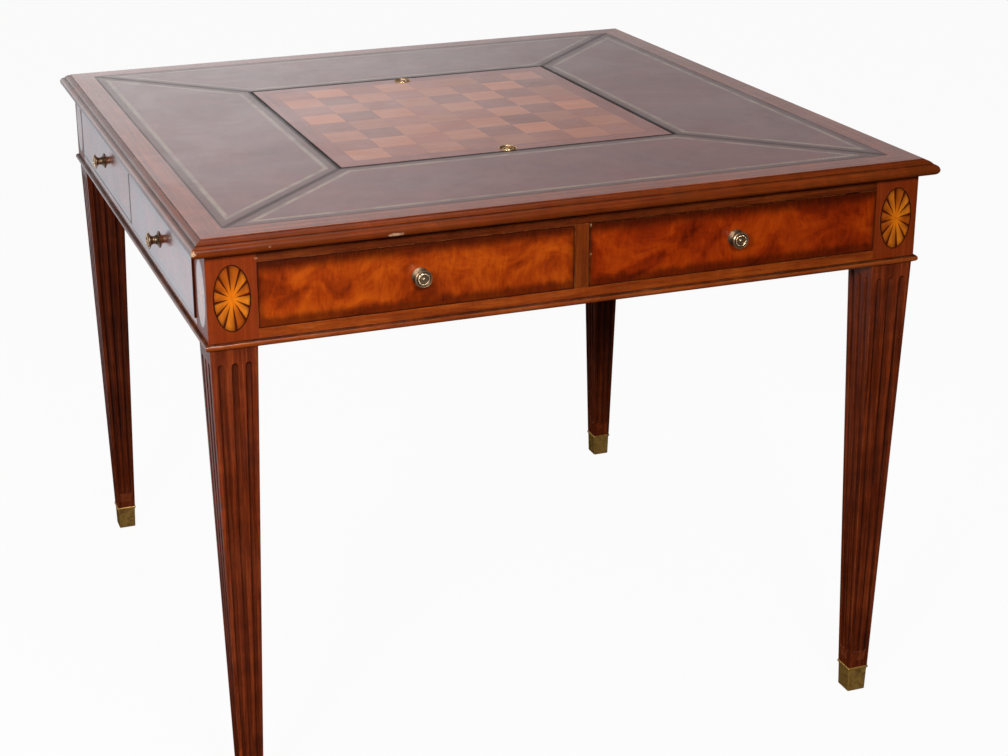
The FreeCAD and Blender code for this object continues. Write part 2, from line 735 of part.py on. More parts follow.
def drawer_place(shape, side):
    """Turns a piece of the front drawer to its side; the left drawer stands a little open."""
    placed = turned(shape, side)
    if SIDES[side] == "left":
        placed.translate(V(-LEFT_DRAWER_AJAR, 0, 0))
    return placed


def drawer_nodes():
    """Pieces of the four drawers by name."""
    pieces = {
        "front": drawer_front(),
        "sides": drawer_sides(),
        "back": drawer_back(),
        "bottom": drawer_bottom(),
        "knob": knob(KNOB_PLACE),
    }
    nodes = {}
    for side, name in enumerate(SIDES):
        for piece, shape in pieces.items():
            nodes["drawer_" + name + "_" + piece] = drawer_place(shape, side)
    return nodes


def top_nodes():
    """Border, ground boards and leather by name."""
    nodes = {"top_ground_boards": on_four_sides(top_ground())}
    border = top_border()
    leather = leather_panel()
    for side, name in enumerate(SIDES):
        nodes["top_border_" + name] = turned(border, side)
        nodes["leather_panel_" + name] = turned(leather, side)
    return nodes


def board_nodes():
    """Lift-out chess board and its pulls by name."""
    plate = pull_plate()
    ring = pull_ring()
    return {
        "board_core": board_core(),
        "board_light_squares": board_squares(0),
        "board_dark_squares": board_squares(1),
        "board_crossbanding": board_banding(),
        "pull_plates": Part.makeCompound([plate, turned(plate, 2)]),
        "pull_ring_front": ring,
        "pull_ring_back": turned(ring, 2),
    }


def well_nodes():
    """Backgammon well by name."""
    return {
        "well_walls": on_four_sides(well_wall()),
        "well_floor": well_floor(),
        "well_bar": well_bar(),
        "backgammon_points_light": backgammon_points(0),
        "backgammon_points_dark": backgammon_points(1),
    }


def leg_nodes():
    """Legs, ferrules and paterae by name."""
    one_leg = leg()
    one_ferrule = ferrule()
    nodes = {}
    for corner, name in enumerate(CORNERS):
        nodes["leg_" + name] = at_corner(one_leg, corner)
        nodes["ferrule_" + name] = at_corner(one_ferrule, corner)
    nodes["patera_stringing"] = on_posts(patera_stringing())
    nodes["patera_petals"] = on_posts(patera_fan())
    return nodes


def apron_nodes():
    """Rails, stiles, mouldings and fixed fronts by name."""
    return {
        "upper_rails": on_four_sides(upper_rail()),
        "lower_rails": on_four_sides(lower_rail()),
        "drawer_stiles": on_four_sides(stile()),
        "drawer_partitions": on_four_sides(partition()),
        "drawer_runners": drawer_runners(),
        "bead_moulding": on_four_sides(bead()),
        "false_fronts": on_four_sides(false_front()),
        "false_front_knobs": on_four_sides(knob(-KNOB_PLACE)),
        "corner_blocks": on_four_sides(corner_block()),
    }


def build():
    """Makes every piece and writes one file for each node."""
    os.makedirs("parts", exist_ok=True)
    for nodes in (leg_nodes(), top_nodes(), board_nodes(), well_nodes(), apron_nodes(), drawer_nodes()):
        for name, shape in nodes.items():
            shape.exportStep("parts/" + name + ".step")
            print(name, len(shape.Solids), round(shape.Volume / 1000.0, 2), "cm3", shape.isValid())


build()
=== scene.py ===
"""Square mahogany games table: shaped pieces, finishes, studio and camera."""
import logging
import math
from collections.abc import Callable, Iterable, Sequence
from dataclasses import dataclass
from enum import Enum
from typing import ClassVar

import bmesh
import bpy
from mathutils import Matrix, Vector


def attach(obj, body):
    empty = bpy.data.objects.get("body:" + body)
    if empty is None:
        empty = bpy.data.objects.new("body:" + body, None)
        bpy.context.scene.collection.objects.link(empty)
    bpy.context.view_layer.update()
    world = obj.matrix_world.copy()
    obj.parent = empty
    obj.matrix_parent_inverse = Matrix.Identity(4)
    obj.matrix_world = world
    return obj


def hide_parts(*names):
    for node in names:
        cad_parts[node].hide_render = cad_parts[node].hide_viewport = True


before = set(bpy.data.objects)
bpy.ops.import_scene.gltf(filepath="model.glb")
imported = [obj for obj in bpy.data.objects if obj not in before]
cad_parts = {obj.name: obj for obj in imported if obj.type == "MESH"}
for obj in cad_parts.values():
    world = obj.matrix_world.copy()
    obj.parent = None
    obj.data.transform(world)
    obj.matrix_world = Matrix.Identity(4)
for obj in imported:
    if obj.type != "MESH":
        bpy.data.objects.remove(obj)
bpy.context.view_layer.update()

LOG = logging.getLogger("games_table")

Pair = tuple[float, float]
Triple = tuple[float, float, float]
Colour = Triple
Tree = bpy.types.NodeTree
Node = bpy.types.Node
Socket = bpy.types.NodeSocket
Feed = Socket | float | Triple
Sockets = dict[str, Socket]
ByFace = Callable[[int, int], float]

# Sizes of the table in metres; OVAL holds half the width and half the height of an inlay
HALF = 0.4825
FACE = 0.464
TOP = 0.770
UNDERSIDE = 0.750
LEATHER_EDGE = 0.4355
OPENING = 0.2342
SQUARE = 0.0515
POST_AXIS = 0.434
POST_HALF = 0.030
BAY_MIDDLE = 0.694
LEG_TOP = 0.6325
STILE_EDGE = 0.0103
POST_EDGE = 0.4032
FRONT_LOW = 0.6543
FRONT_HIGH = 0.7337
KNOB_PLACE = 0.20675
AJAR = 0.0025
OVAL = (0.0225, 0.04075)

# Turns in degrees that tell one face, an arris to round over and an edge that stays sharp
FLAT_TURN = 1.0
ARRIS_TURN = 25.0
SHARP_TURN = 32.0
SOFT_SHARP_TURN = 40.0

# Colours and polish that several finishes share
BARE_WOOD = (0.60, 0.37, 0.22)
WORN_WOOD = (0.30, 0.085, 0.022)
# Colour of grime and of painted shade in hollows and along gaps
GRIME_AND_SHADE = (0.012, 0.004, 0.002)
SMEARS = (0.3, 0.7)
SCRATCH = 0.08
FRENCH_POLISH = (0.28, 0.42)
BUMP_DEPTH = 0.001

# Centre, radii and strength of each knock on the front
CHIPS = (
    ((-0.2417, -HALF, 0.7537), (0.0110, 0.0100, 0.0024), 0.95),
    ((-0.4813, -HALF, 0.7576), (0.0050, 0.0050, 0.0040), 0.90),
    ((-0.3915, -HALF, 0.7566), (0.0016, 0.0040, 0.0012), 0.35),
    ((-0.4039, -FACE, 0.7394), (0.0022, 0.0040, 0.0016), 0.40),
    ((0.0114, -FACE, 0.7322), (0.0010, 0.0040, 0.0017), 0.60),
    ((0.0118, -FACE, 0.6954), (0.0009, 0.0040, 0.0015), 0.60),
)


def quarter_turn(count: int) -> Matrix:
    """Turns a shape about the upright axis by a number of quarters."""
    return Matrix.Rotation(math.radians(90.0 * count), 4, "Z")


def deepened(colour: Colour, share: float) -> Colour:
    """A colour multiplied by a share."""
    return tuple(share * part for part in colour)


class Side(Enum):
    """Sides of the table, in quarter turns from the front."""

    FRONT = 0
    RIGHT = 1
    BACK = 2
    LEFT = 3

    @property
    def label(self) -> str:
        """The side's name in the frame."""
        return self.name.lower()

    @property
    def turn(self) -> Matrix:
        """Turns a shape from the front to this side."""
        return quarter_turn(self.value)


class Corner(Enum):
    """Corners of the table, in quarter turns from the front left."""

    FRONT_LEFT = 0
    FRONT_RIGHT = 1
    BACK_RIGHT = 2
    BACK_LEFT = 3

    @property
    def label(self) -> str:
        """The corner's name in the frame."""
        return self.name.lower()

    @property
    def place(self) -> Matrix:
        """Moves a shape round the upright axis to this corner post, its front and left faces outward."""
        return quarter_turn(self.value) @ Matrix.Translation((-POST_AXIS, -POST_AXIS, 0.0))


class Grain(Enum):
    """Which way the grain of a wood runs."""

    ALONG_SIDE = "along the side of the table"
    UPRIGHT = "upright"
    LEFT_TO_RIGHT = "left to right"


class Measure(Enum):
    """Ways to say how far a place is from the middle of the table or of its side."""

    ALONG = "Along"
    OUT = "Out"


class Wiring:
    """Adds nodes to one shader tree and joins them."""

    def __init__(self, tree: Tree) -> None:
        """Takes the tree to work in."""
        self.tree = tree

    def node(self, kind: str, inputs: dict[str | int, Feed] | None = None, **settings: object) -> Node:
        """Adds one node.

        Args:
            kind: Blender's name of the node type.
            inputs: values or sockets for its inputs, by name or number.
            settings: properties of the node.

        Returns:
            The new node.
        """
        made = self.tree.nodes.new(kind)
        for name, value in settings.items():
            setattr(made, name, value)
        for key, value in (inputs or {}).items():
            self.feed(made.inputs[key], value)
        return made

    def feed(self, socket: Socket, value: Feed) -> None:
        """Links a socket to an input, or sets the input's own value.

        Args:
            socket: the input.
            value: a socket to link, or the number, colour or vector to set.
        """
        if isinstance(value, bpy.types.NodeSocket):
            self.tree.links.new(value, socket)
        elif socket.type == "RGBA":
            socket.default_value = (*value, 1.0)
        else:
            socket.default_value = value

    def math(self, operation: str, first: Feed, second: Feed = 0.0, third: Feed = 0.0) -> Socket:
        """One sum of numbers, such as SINE or GREATER_THAN."""
        return self.node("ShaderNodeMath", {0: first, 1: second, 2: third}, operation=operation).outputs[0]

    def chain(self, operation: str, *values: Feed) -> Feed:
        """Joins numbers one after another by one operation.

        Args:
            operation: Blender's name of the operation.
            values: the numbers, in order.

        Returns:
            The last result.
        """
        result = values[0]
        for value in values[1:]:
            result = self.math(operation, result, value)
        return result

    def product(self, *values: Feed) -> Feed:
        """All the numbers multiplied."""
        return self.chain("MULTIPLY", *values)

    def total(self, *values: Feed) -> Feed:
        """All the numbers added."""
        return self.chain("ADD", *values)

    def most(self, *values: Feed) -> Feed:
        """The greatest of the numbers."""
        return self.chain("MAXIMUM", *values)

    def least(self, *values: Feed) -> Feed:
        """The smallest of the numbers."""
        return self.chain("MINIMUM", *values)

    def less(self, first: Feed, second: Feed) -> Socket:
        """The first number less the second."""
        return self.math("SUBTRACT", first, second)

    def rest(self, value: Feed) -> Socket:
        """What a share leaves of the whole."""
        return self.less(1.0, value)

    def size(self, value: Feed) -> Socket:
        """A number without its sign."""
        return self.math("ABSOLUTE", value)

    def raised(self, base: Feed, value: Feed, share: float) -> Socket:
        """A number with a share of another added."""
        return self.math("MULTIPLY_ADD", value, share, base)

    def step(self, value: Feed, low: Feed, high: Feed, start: Feed = 0.0, end: Feed = 1.0) -> Socket:
        """A number eased from start to end while the value goes from low to high."""
        inputs = {0: value, 1: low, 2: high, 3: start, 4: end}
        return self.node("ShaderNodeMapRange", inputs, interpolation_type="SMOOTHSTEP").outputs[0]

    def fade(self, value: Feed, low: Feed, high: Feed, start: Feed = 1.0) -> Socket:
        """A number eased from start down to nothing while the value goes from low to high."""
        return self.step(value, low, high, start, 0.0)

    def mix(self, share: Feed, first: Feed, second: Feed, blend: str = "MIX") -> Socket:
        """Two colours mixed by a share of the second."""
        inputs = {0: share, 6: first, 7: second}
        return self.node("ShaderNodeMix", inputs, data_type="RGBA", blend_type=blend).outputs[2]

    def ramp(self, value: Feed, stops: Sequence[tuple[float, Colour]]) -> Socket:
        """A colour picked from a row of stops.

        Args:
            value: the number to pick by.
            stops: number and colour of each stop, in order.

        Returns:
            The colour.
        """
        made = self.node("ShaderNodeValToRGB", {0: value})
        elements = made.color_ramp.elements
        while len(elements) < len(stops):
            elements.new(0.5)
        for element, (place, colour) in zip(elements, stops):
            element.position = place
            element.color = (*colour, 1.0)
        return made.outputs[0]

    def vectors(self, operation: str, first: Feed, second: Feed) -> Socket:
        """One sum of vectors, such as ADD or SUBTRACT."""
        return self.node("ShaderNodeVectorMath", {0: first, 1: second}, operation=operation).outputs[0]

    def stretched(self, vector: Socket, factors: Triple) -> Socket:
        """A vector with each part multiplied by its own factor."""
        return self.vectors("MULTIPLY", vector, factors)

    def noise(self, vector: Socket, scale: float | Triple, detail: float = 3.0, rough: float = 0.55,
              bend: float = 0.0) -> Socket:
        """Cloudy numbers from 0 to 1 with a middle near 0.5.

        Args:
            vector: coordinates.
            scale: clouds to a metre, or a number of them for each part of the vector.
            detail: how many finer layers there are.
            rough: how strong the finer layers are.
            bend: how far the clouds are drawn out of shape.

        Returns:
            The numbers.
        """
        if isinstance(scale, tuple):
            vector = self.stretched(vector, scale)
            scale = 1.0
        inputs = {"Vector": vector, "Scale": scale, "Detail": detail, "Roughness": rough, "Distortion": bend}
        return self.node("ShaderNodeTexNoise", inputs).outputs[0]

    def parts(self, vector: Socket) -> tuple[Socket, Socket, Socket]:
        """The three numbers of a vector."""
        made = self.node("ShaderNodeSeparateXYZ", {0: vector})
        return made.outputs[0], made.outputs[1], made.outputs[2]

    def vector(self, first: Feed, second: Feed, third: Feed) -> Socket:
        """Three numbers as a vector."""
        return self.node("ShaderNodeCombineXYZ", {0: first, 1: second, 2: third}).outputs[0]

    def attribute(self, name: str) -> Socket:
        """A number kept with each face of the mesh."""
        return self.node("ShaderNodeAttribute", attribute_name=name).outputs["Fac"]


class Group(Wiring):
    """A shader group that starts from a place and has named outputs."""

    def __init__(self, name: str, outputs: Sequence[str], numbers: Sequence[str] = ()) -> None:
        """Starts the group.

        Args:
            name: the group's name.
            outputs: names of its outputs; one called Vector puts out a vector, the others numbers.
            numbers: names of its number inputs, besides the place.
        """
        super().__init__(bpy.data.node_groups.new(name, "ShaderNodeTree"))
        sockets = self.tree.interface
        sockets.new_socket("Place", in_out="INPUT", socket_type="NodeSocketVector")
        for key in numbers:
            sockets.new_socket(key, in_out="INPUT", socket_type="NodeSocketFloat")
        for key in outputs:
            kind = "NodeSocketVector" if key == "Vector" else "NodeSocketFloat"
            sockets.new_socket(key, in_out="OUTPUT", socket_type=kind)
        source = self.node("NodeGroupInput")
        self.target = self.node("NodeGroupOutput")
        self.place = source.outputs["Place"]
        self.numbers = {key: source.outputs[key] for key in numbers}

    def put(self, **values: Feed) -> Tree:
        """Joins sockets to the group's outputs by name.

        Args:
            values: socket or number of each output.

        Returns:
            The finished group.
        """
        for key, value in values.items():
            self.feed(self.target.inputs[key], value)
        return self.tree


class Effects:
    """Shader groups that several finishes share, each built once."""

    front_shift: ClassVar[float] = 3.1
    side_shift: ClassVar[float] = 7.7

    def __init__(self) -> None:
        """Builds every group."""
        self.side_place = self._side_place()
        self.wood_grain = self._wood_grain()
        self.rubbed_edges = self._rubbed_edges()
        self.chips = self._chips()
        self.polish_marks = self._polish_marks()
        self.hide_grain = self._hide_grain()
        self.brass_age = self._brass_age()

    def _side_place(self) -> Tree:
        """Distance along the nearest side, out from the middle and up, and all as a vector shifted by side.

        Returns:
            The group.
        """
        g = Group("side_place", ["Along", "Out", "Height", "Vector"])
        x, y, z = g.parts(g.place)
        far_x, far_y = g.size(x), g.size(y)
        sign_x, sign_y = g.math("SIGN", x), g.math("SIGN", y)
        on_front = g.math("GREATER_THAN", far_y, far_x)
        on_side = g.rest(on_front)
        along = g.total(g.product(x, sign_y, on_front, -1.0), g.product(y, sign_x, on_side))
        out = g.most(far_x, far_y)
        front_shift = g.product(sign_y, on_front, self.front_shift)
        side_shift = g.product(sign_x, on_side, self.side_shift)
        shifted = g.total(along, g.total(front_shift, side_shift))
        return g.put(Along=along, Out=out, Height=z, Vector=g.vector(shifted, out, z))

    @staticmethod
    def _wood_grain() -> Tree:
        """Streaks, fibre, pores and ripple of wood whose grain runs along the first part of the place.

        Returns:
            The group.
        """
        g = Group("wood_grain", ["Streak", "Fibre", "Pores", "Ripple"], ["Fineness"])
        fineness = g.numbers["Fineness"]
        fine = g.vectors("MULTIPLY", g.place, g.vector(1.0, fineness, fineness))
        sway = g.noise(fine, (3.0, 9.0, 9.0), 2.0)
        bent = g.vectors("ADD", fine, g.vector(0.0, g.product(sway, 0.03), g.product(sway, 0.02)))
        return g.put(
            Streak=g.noise(bent, (4.0, 85.0, 85.0), 5.0, 0.62, 0.2),
            Fibre=g.noise(bent, (16.0, 520.0, 520.0), 3.0, 0.6),
            Pores=g.step(g.noise(bent, (70.0, 1900.0, 1900.0), 1.0), 0.58, 0.70),
            Ripple=g.noise(bent, (42.0, 9.0, 9.0), 3.0, 0.5, 0.4))

    @staticmethod
    def _rubbed_edges() -> Tree:
        """Where hands and cloths have thinned the polish on an arris, patchy, from 0 to 1.

        Returns:
            The group.
        """
        g = Group("rubbed_edges", ["Wear"], ["Rub"])
        patches = g.step(g.noise(g.place, 26.0, 4.0, 0.6), 0.40, 0.66)
        nicks = g.step(g.noise(g.place, 190.0, 2.0), 0.57, 0.66)
        both = g.least(g.total(g.product(patches, 0.75), g.product(nicks, 0.6)), 1.0)
        return g.put(Wear=g.product(both, g.numbers["Rub"]))

    @staticmethod
    def _chips() -> Tree:
        """Small knocks that have bared pale wood, from 0 to 1.

        Returns:
            The group.
        """
        g = Group("chips", ["Chip"])
        ragged = g.raised(-1.5, g.noise(g.place, 560.0, 3.0, 0.65), 3.0)
        spots = []
        for centre, radii, strength in CHIPS:
            away = g.vectors("SUBTRACT", g.place, centre)
            scaled = g.stretched(away, tuple(1 / radius for radius in radii))
            length = g.node("ShaderNodeVectorMath", {0: scaled}, operation="LENGTH").outputs["Value"]
            spots.append(g.fade(g.total(length, ragged), 0.40, 1.00, strength))
        return g.put(Chip=g.most(*spots))

    @staticmethod
    def _polish_marks() -> Tree:
        """Smears in a polish and fine scratches, both from 0 to 1.

        Returns:
            The group.
        """
        g = Group("polish_marks", ["Smear", "Scratch"])
        first = g.step(g.noise(g.place, (14.0, 900.0, 350.0), 1.0), 0.68, 0.76)
        second = g.step(g.noise(g.place, (700.0, 22.0, 300.0), 1.0), 0.70, 0.78)
        return g.put(Smear=g.noise(g.place, 7.0, 5.0, 0.65, 0.6), Scratch=g.most(first, second))

    @staticmethod
    def _hide_grain() -> Tree:
        """Pebbled height, cloudy tone and creases of a hide.

        Returns:
            The group.
        """
        g = Group("hide_grain", ["Pebble", "Cloud", "Crease"])
        inputs = {"Vector": g.place, "Scale": 620.0}
        cells = g.node("ShaderNodeTexVoronoi", inputs, feature="DISTANCE_TO_EDGE")
        return g.put(
            Pebble=g.step(cells.outputs[0], 0.0, 0.35),
            Cloud=g.noise(g.place, 9.0, 6.0, 0.62, 0.5),
            Crease=g.step(g.noise(g.place, 55.0, 5.0, 0.7, 1.2), 0.50, 0.62))

    @staticmethod
    def _brass_age() -> Tree:
        """Tarnish, fine wear lines and pits of old brass, from 0 to 1.

        Returns:
            The group.
        """
        g = Group("brass_age", ["Tarnish", "Lines", "Pits"])
        return g.put(
            Tarnish=g.step(g.noise(g.place, 85.0, 5.0, 0.68, 0.8), 0.38, 0.66),
            Lines=g.noise(g.place, (900.0, 900.0, 3200.0), 2.0),
            Pits=g.step(g.noise(g.place, 950.0, 2.0), 0.63, 0.72))


class Surface(Wiring):
    """Wiring of one material, with the shared effects and the place in the frame."""

    def __init__(self, tree: Tree, effects: Effects) -> None:
        """Starts the material.

        Args:
            tree: the material's tree.
            effects: the shared groups.
        """
        super().__init__(tree)
        self.effects = effects
        self.place = self.node("ShaderNodeTexCoord").outputs["Object"]

    def effect(self, group: Tree, **inputs: Feed) -> Sockets:
        """Places a shared effect with its own values and gives its outputs by name."""
        made = self.node("ShaderNodeGroup", {"Place": self.place, **inputs}, node_tree=group)
        return {socket.name: socket for socket in made.outputs}

    def grained(self, grain: Grain) -> tuple[Socket, Sockets]:
        """Coordinates with the grain along the first part.

        Args:
            grain: which way the grain runs.

        Returns:
            The coordinates, and the measures of the place on its side of the table.
        """
        side = self.effect(self.effects.side_place)
        along, out, height = self.parts(side["Vector"])
        orders = {
            Grain.ALONG_SIDE: (along, out, height),
            Grain.UPRIGHT: (height, along, out),
            Grain.LEFT_TO_RIGHT: self.parts(self.place),
        }
        return self.vector(*orders[grain]), side

    def worn(self, colour: Socket, pale: Colour) -> Socket:
        """A colour with its arrises rubbed toward a paler one."""
        wear = self.effect(self.effects.rubbed_edges, Rub=self.attribute("rub"))["Wear"]
        return self.mix(wear, colour, pale)

    def chipped(self, colour: Socket) -> tuple[Socket, Socket]:
        """A colour with the knocks that bare the wood, and where they are."""
        chip = self.effect(self.effects.chips)["Chip"]
        return self.mix(chip, colour, BARE_WOOD), chip

    def polished(self, rough: Pair, scratch: float = 0.0) -> Feed:
        """Roughness of a polish with smears and scratches.

        Args:
            rough: roughness where the polish is best and where it is worst.
            scratch: roughness that a scratch adds.

        Returns:
            The roughness.
        """
        marks = self.effect(self.effects.polish_marks)
        smeared = self.step(marks["Smear"], *SMEARS, *rough)
        return self.raised(smeared, marks["Scratch"], scratch) if scratch else smeared


@dataclass(frozen=True)
class Gloss:
    """Polish of a surface, as constants of its shader."""

    coat: float = 0.0
    coat_roughness: float = 0.12
    coat_ior: float = 1.6
    specular: float = 0.5
    bump: float = 0.3
    metal: float = 0.0


@dataclass
class Look:
    """What a finish works out over the surface."""

    colour: Socket
    roughness: Feed
    height: Feed
    cover: Feed = 1.0


@dataclass(frozen=True)
class Finish:
    """A material of the table."""

    name: str
    gloss: Gloss

    def paint(self, s: Surface) -> Look:
        """Works out colour, roughness and height; each kind of finish has its own way."""
        raise NotImplementedError

    def build(self, effects: Effects) -> bpy.types.Material:
        """Makes the material.

        Args:
            effects: the shared shader groups.

        Returns:
            A material whose Principled shader carries this finish.
        """
        material = bpy.data.materials.new(self.name)
        material.use_nodes = True
        material.node_tree.nodes.clear()
        s = Surface(material.node_tree, effects)
        look = self.paint(s)
        relief = {"Strength": self.gloss.bump, "Distance": BUMP_DEPTH, "Height": look.height}
        shader = s.node("ShaderNodeBsdfPrincipled", {
            "Base Color": look.colour,
            "Roughness": look.roughness,
            "Normal": s.node("ShaderNodeBump", relief).outputs[0],
            "Metallic": self.gloss.metal,
            "Specular IOR Level": self.gloss.specular,
            "Coat Roughness": self.gloss.coat_roughness,
            "Coat IOR": self.gloss.coat_ior,
        })
        if self.gloss.coat > 0.0:
            coat = s.fade(s.attribute("rub"), 0.0, 1.0, self.gloss.coat)
            s.feed(shader.inputs["Coat Weight"], s.product(coat, look.cover))
        s.node("ShaderNodeOutputMaterial", {"Surface": shader.outputs[0]})
        return material


@dataclass(frozen=True)
class Wood(Finish):
    """Plain figured wood under polish."""

    dark: Colour
    mid: Colour
    light: Colour
    worn: Colour = WORN_WOOD
    grain: Grain = Grain.ALONG_SIDE
    rough: Pair = (0.30, 0.48)
    pores: float = 0.45
    fineness: float = 1.0
    weights: Triple = (0.62, 0.26, 0.20)
    stops: Triple = (0.36, 0.54, 0.72)

    def tone(self, s: Surface, vector: Socket) -> tuple[Socket, Sockets]:
        """Wood colour before wear.

        Args:
            s: wiring of the material.
            vector: coordinates with the grain along the first part.

        Returns:
            The colour, and the parts of the grain.
        """
        grain = s.effect(s.effects.wood_grain, Place=vector, Fineness=self.fineness)
        figure = [s.product(grain[part], weight)
                  for part, weight in zip(("Streak", "Fibre", "Ripple"), self.weights)]
        colour = s.ramp(s.total(*figure), list(zip(self.stops, (self.dark, self.mid, self.light))))
        return s.mix(s.product(grain["Pores"], self.pores), colour, deepened(self.dark, 0.35)), grain

    def shade(self, s: Surface, side: Sockets, colour: Socket) -> Socket:
        """Place for a wood to alter its colour by where it is on the table."""
        return colour

    def cover(self, s: Surface, side: Sockets) -> Feed:
        """Share of the polish that is left, by where it is on the table."""
        return 1.0

    def paint(self, s: Surface) -> Look:
        """Grain, worn arrises, grime and painted shade in hollows, knocks and smeared polish.

        Args:
            s: wiring of the material.

        Returns:
            What the finish works out.
        """
        vector, side = s.grained(self.grain)
        colour, grain = self.tone(s, vector)
        colour = s.worn(self.shade(s, side, colour), self.worn)
        # Grime and painted shade in hollows, in patches
        patches = s.step(s.noise(s.place, 40.0), 0.2, 0.6, 0.45, 0.9)
        colour = s.mix(s.product(s.attribute("grime"), patches), colour, GRIME_AND_SHADE)
        colour, chip = s.chipped(colour)
        height = s.less(s.product(grain["Fibre"], 0.5), s.product(grain["Pores"], 0.5))
        cover = s.product(self.cover(s, side), s.rest(chip))
        return Look(colour, s.polished(self.rough, SCRATCH), height, cover)


@dataclass(frozen=True)
class BorderWood(Wood):
    """Border mahogany, browner on its mouldings than on its flat, and darker there partly as painted shade.
    """

    # Tint of the mouldings: browner as the wood's own tone, darker partly as painted shade
    moulding: Colour = (0.78, 0.64, 0.24)
    drop: Pair = (TOP - 0.0012, TOP - 0.0004)

    def shade(self, s: Surface, side: Sockets, colour: Socket) -> Socket:
        """Browns the mouldings and darkens them, partly as painted shade."""
        below = s.fade(side["Height"], *self.drop)
        return s.mix(below, colour, s.mix(1.0, colour, self.moulding, "MULTIPLY"))


@dataclass(frozen=True)
class EdgedWood(Wood):
    """Wood darkened and without polish along its edges; the darkening is painted shade of the gap beside
    them.
    """

    measure: Measure = Measure.ALONG
    rise: Pair = (0.0, 1.0)
    strength: float = 0.9
    dirt_and_shade: Colour = GRIME_AND_SHADE

    def edge(self, s: Surface, side: Sockets) -> Socket:
        """The edges, from 0 to 1."""
        return s.step(s.size(side[self.measure.value]), *self.rise)

    def shade(self, s: Surface, side: Sockets, colour: Socket) -> Socket:
        """Darkens the edges with painted shade of the gap."""
        return s.mix(s.product(self.edge(s, side), self.strength), colour, self.dirt_and_shade)

    def cover(self, s: Surface, side: Sockets) -> Feed:
        """Leaves the edges without polish."""
        return s.rest(self.edge(s, side))


@dataclass(frozen=True)
class LegWood(Wood):
    """Leg mahogany whose corner post is redder and lighter than the leg below it."""

    post: Colour = (0.245, 0.029, 0.0012)
    post_share: float = 0.55
    rise: Pair = (LEG_TOP - 0.001, LEG_TOP + 0.001)

    def shade(self, s: Surface, side: Sockets, colour: Socket) -> Socket:
        """Lightens the corner post."""
        on_post = s.step(side["Height"], *self.rise)
        return s.mix(on_post, colour, s.mix(self.post_share, colour, self.post))


@dataclass(frozen=True)
class FlameWood(Finish):
    """Mottled flame veneer with a darker cross-grained band round each front."""

    dark: Colour
    mid: Colour
    light: Colour
    band: Colour
    # Multiplier of the second leaf: partly its own tone, partly painted shade of the light falling off to
    # one side
    leaf_tone_and_shade: Colour
    # Colour at the very edge of a front: painted shade of the gap round it
    rim: Colour = (0.02, 0.004, 0.001)
    stops: Triple = (0.37, 0.53, 0.70)
    leaf_and_shade_edge: Pair = (-0.004, 0.004)
    leaf_share: float = 0.85
    # Start, end and strength of each dark band, as distances in from the edge of a front; the band at the
    # very edge is painted shade of the gap round the front
    top_band: Triple = (0.003, 0.020, 0.90)
    foot_band: Triple = (0.006, 0.017, 0.74)
    end_band: Triple = (0.002, 0.014, 0.6)
    gap_shade_band: Triple = (0.0004, 0.0020, 0.75)

    def flame(self, s: Surface, flat: Socket) -> tuple[Socket, Socket]:
        """Clouds, plumes and fibre of the figure.

        Args:
            s: wiring of the material.
            flat: distance along the side and height, as a vector.

        Returns:
            The colour, and the fibre as a height.
        """
        along, height, _ = s.parts(flat)
        sway = s.noise(flat, (9.0, 7.0, 1.0), 3.0, 0.5)
        plume = s.vector(s.raised(along, sway, 0.07), s.raised(height, sway, 0.05), 0.0)
        cloud = s.noise(plume, (17.0, 24.0, 1.0), 5.0, 0.64, 0.6)
        feather = s.noise(plume, (150.0, 34.0, 1.0), 4.0, 0.6, 0.6)
        fibre = s.noise(plume, (430.0, 55.0, 1.0), 3.0, 0.6)
        level = s.total(s.product(cloud, 0.78), s.product(feather, 0.20), s.product(fibre, 0.12))
        return s.ramp(level, list(zip(self.stops, (self.dark, self.mid, self.light)))), fibre

    def paint(self, s: Surface) -> Look:
        """Flame figure, the second leaf darker partly by its own tone and partly as painted shade, the band,
        painted gap shade at the very edge, worn arrises, knocks and smeared polish.

        Args:
            s: wiring of the material.

        Returns:
            What the finish works out.
        """
        vector, side = s.grained(Grain.ALONG_SIDE)
        along, _, height = s.parts(vector)
        flat = s.vector(along, height, 0.0)
        colour, fibre = self.flame(s, flat)
        # The second leaf, darker partly by its own tone and partly as painted shade
        second_leaf_and_shade = s.product(s.step(side["Along"], *self.leaf_and_shade_edge), self.leaf_share)
        colour = s.mix(second_leaf_and_shade, colour, s.mix(1.0, colour, self.leaf_tone_and_shade, "MULTIPLY"))
        reach = s.size(side["Along"])
        from_end = s.least(s.less(reach, STILE_EDGE), s.less(POST_EDGE, reach))
        from_top = s.less(FRONT_HIGH, height)
        from_foot = s.less(height, FRONT_LOW)
        tongues = s.noise(flat, (75.0, 9.0, 1.0), 3.0, 0.6)
        ragged = s.raised(-0.008, tongues, 0.016)
        in_band = s.most(
            s.fade(s.raised(from_top, ragged, 0.5), *self.top_band),
            s.fade(s.total(from_foot, ragged), *self.foot_band),
            s.fade(s.raised(from_end, tongues, 0.006), *self.end_band))
        lines = s.noise(flat, (420.0, 25.0, 1.0))
        banding = s.ramp(lines, [(0.3, deepened(self.band, 0.4)), (0.7, self.band)])
        colour = s.mix(in_band, colour, banding)
        # Painted shade of the gap round the front, where the polish is also left off
        rim = s.fade(s.least(from_end, from_top, from_foot), *self.gap_shade_band)
        colour = s.worn(s.mix(rim, colour, self.rim), WORN_WOOD)
        colour, chip = s.chipped(colour)
        relief = s.total(s.product(fibre, 0.4), s.product(lines, 0.2))
        return Look(colour, s.polished(FRENCH_POLISH, SCRATCH), relief, s.rest(s.most(rim, chip)))


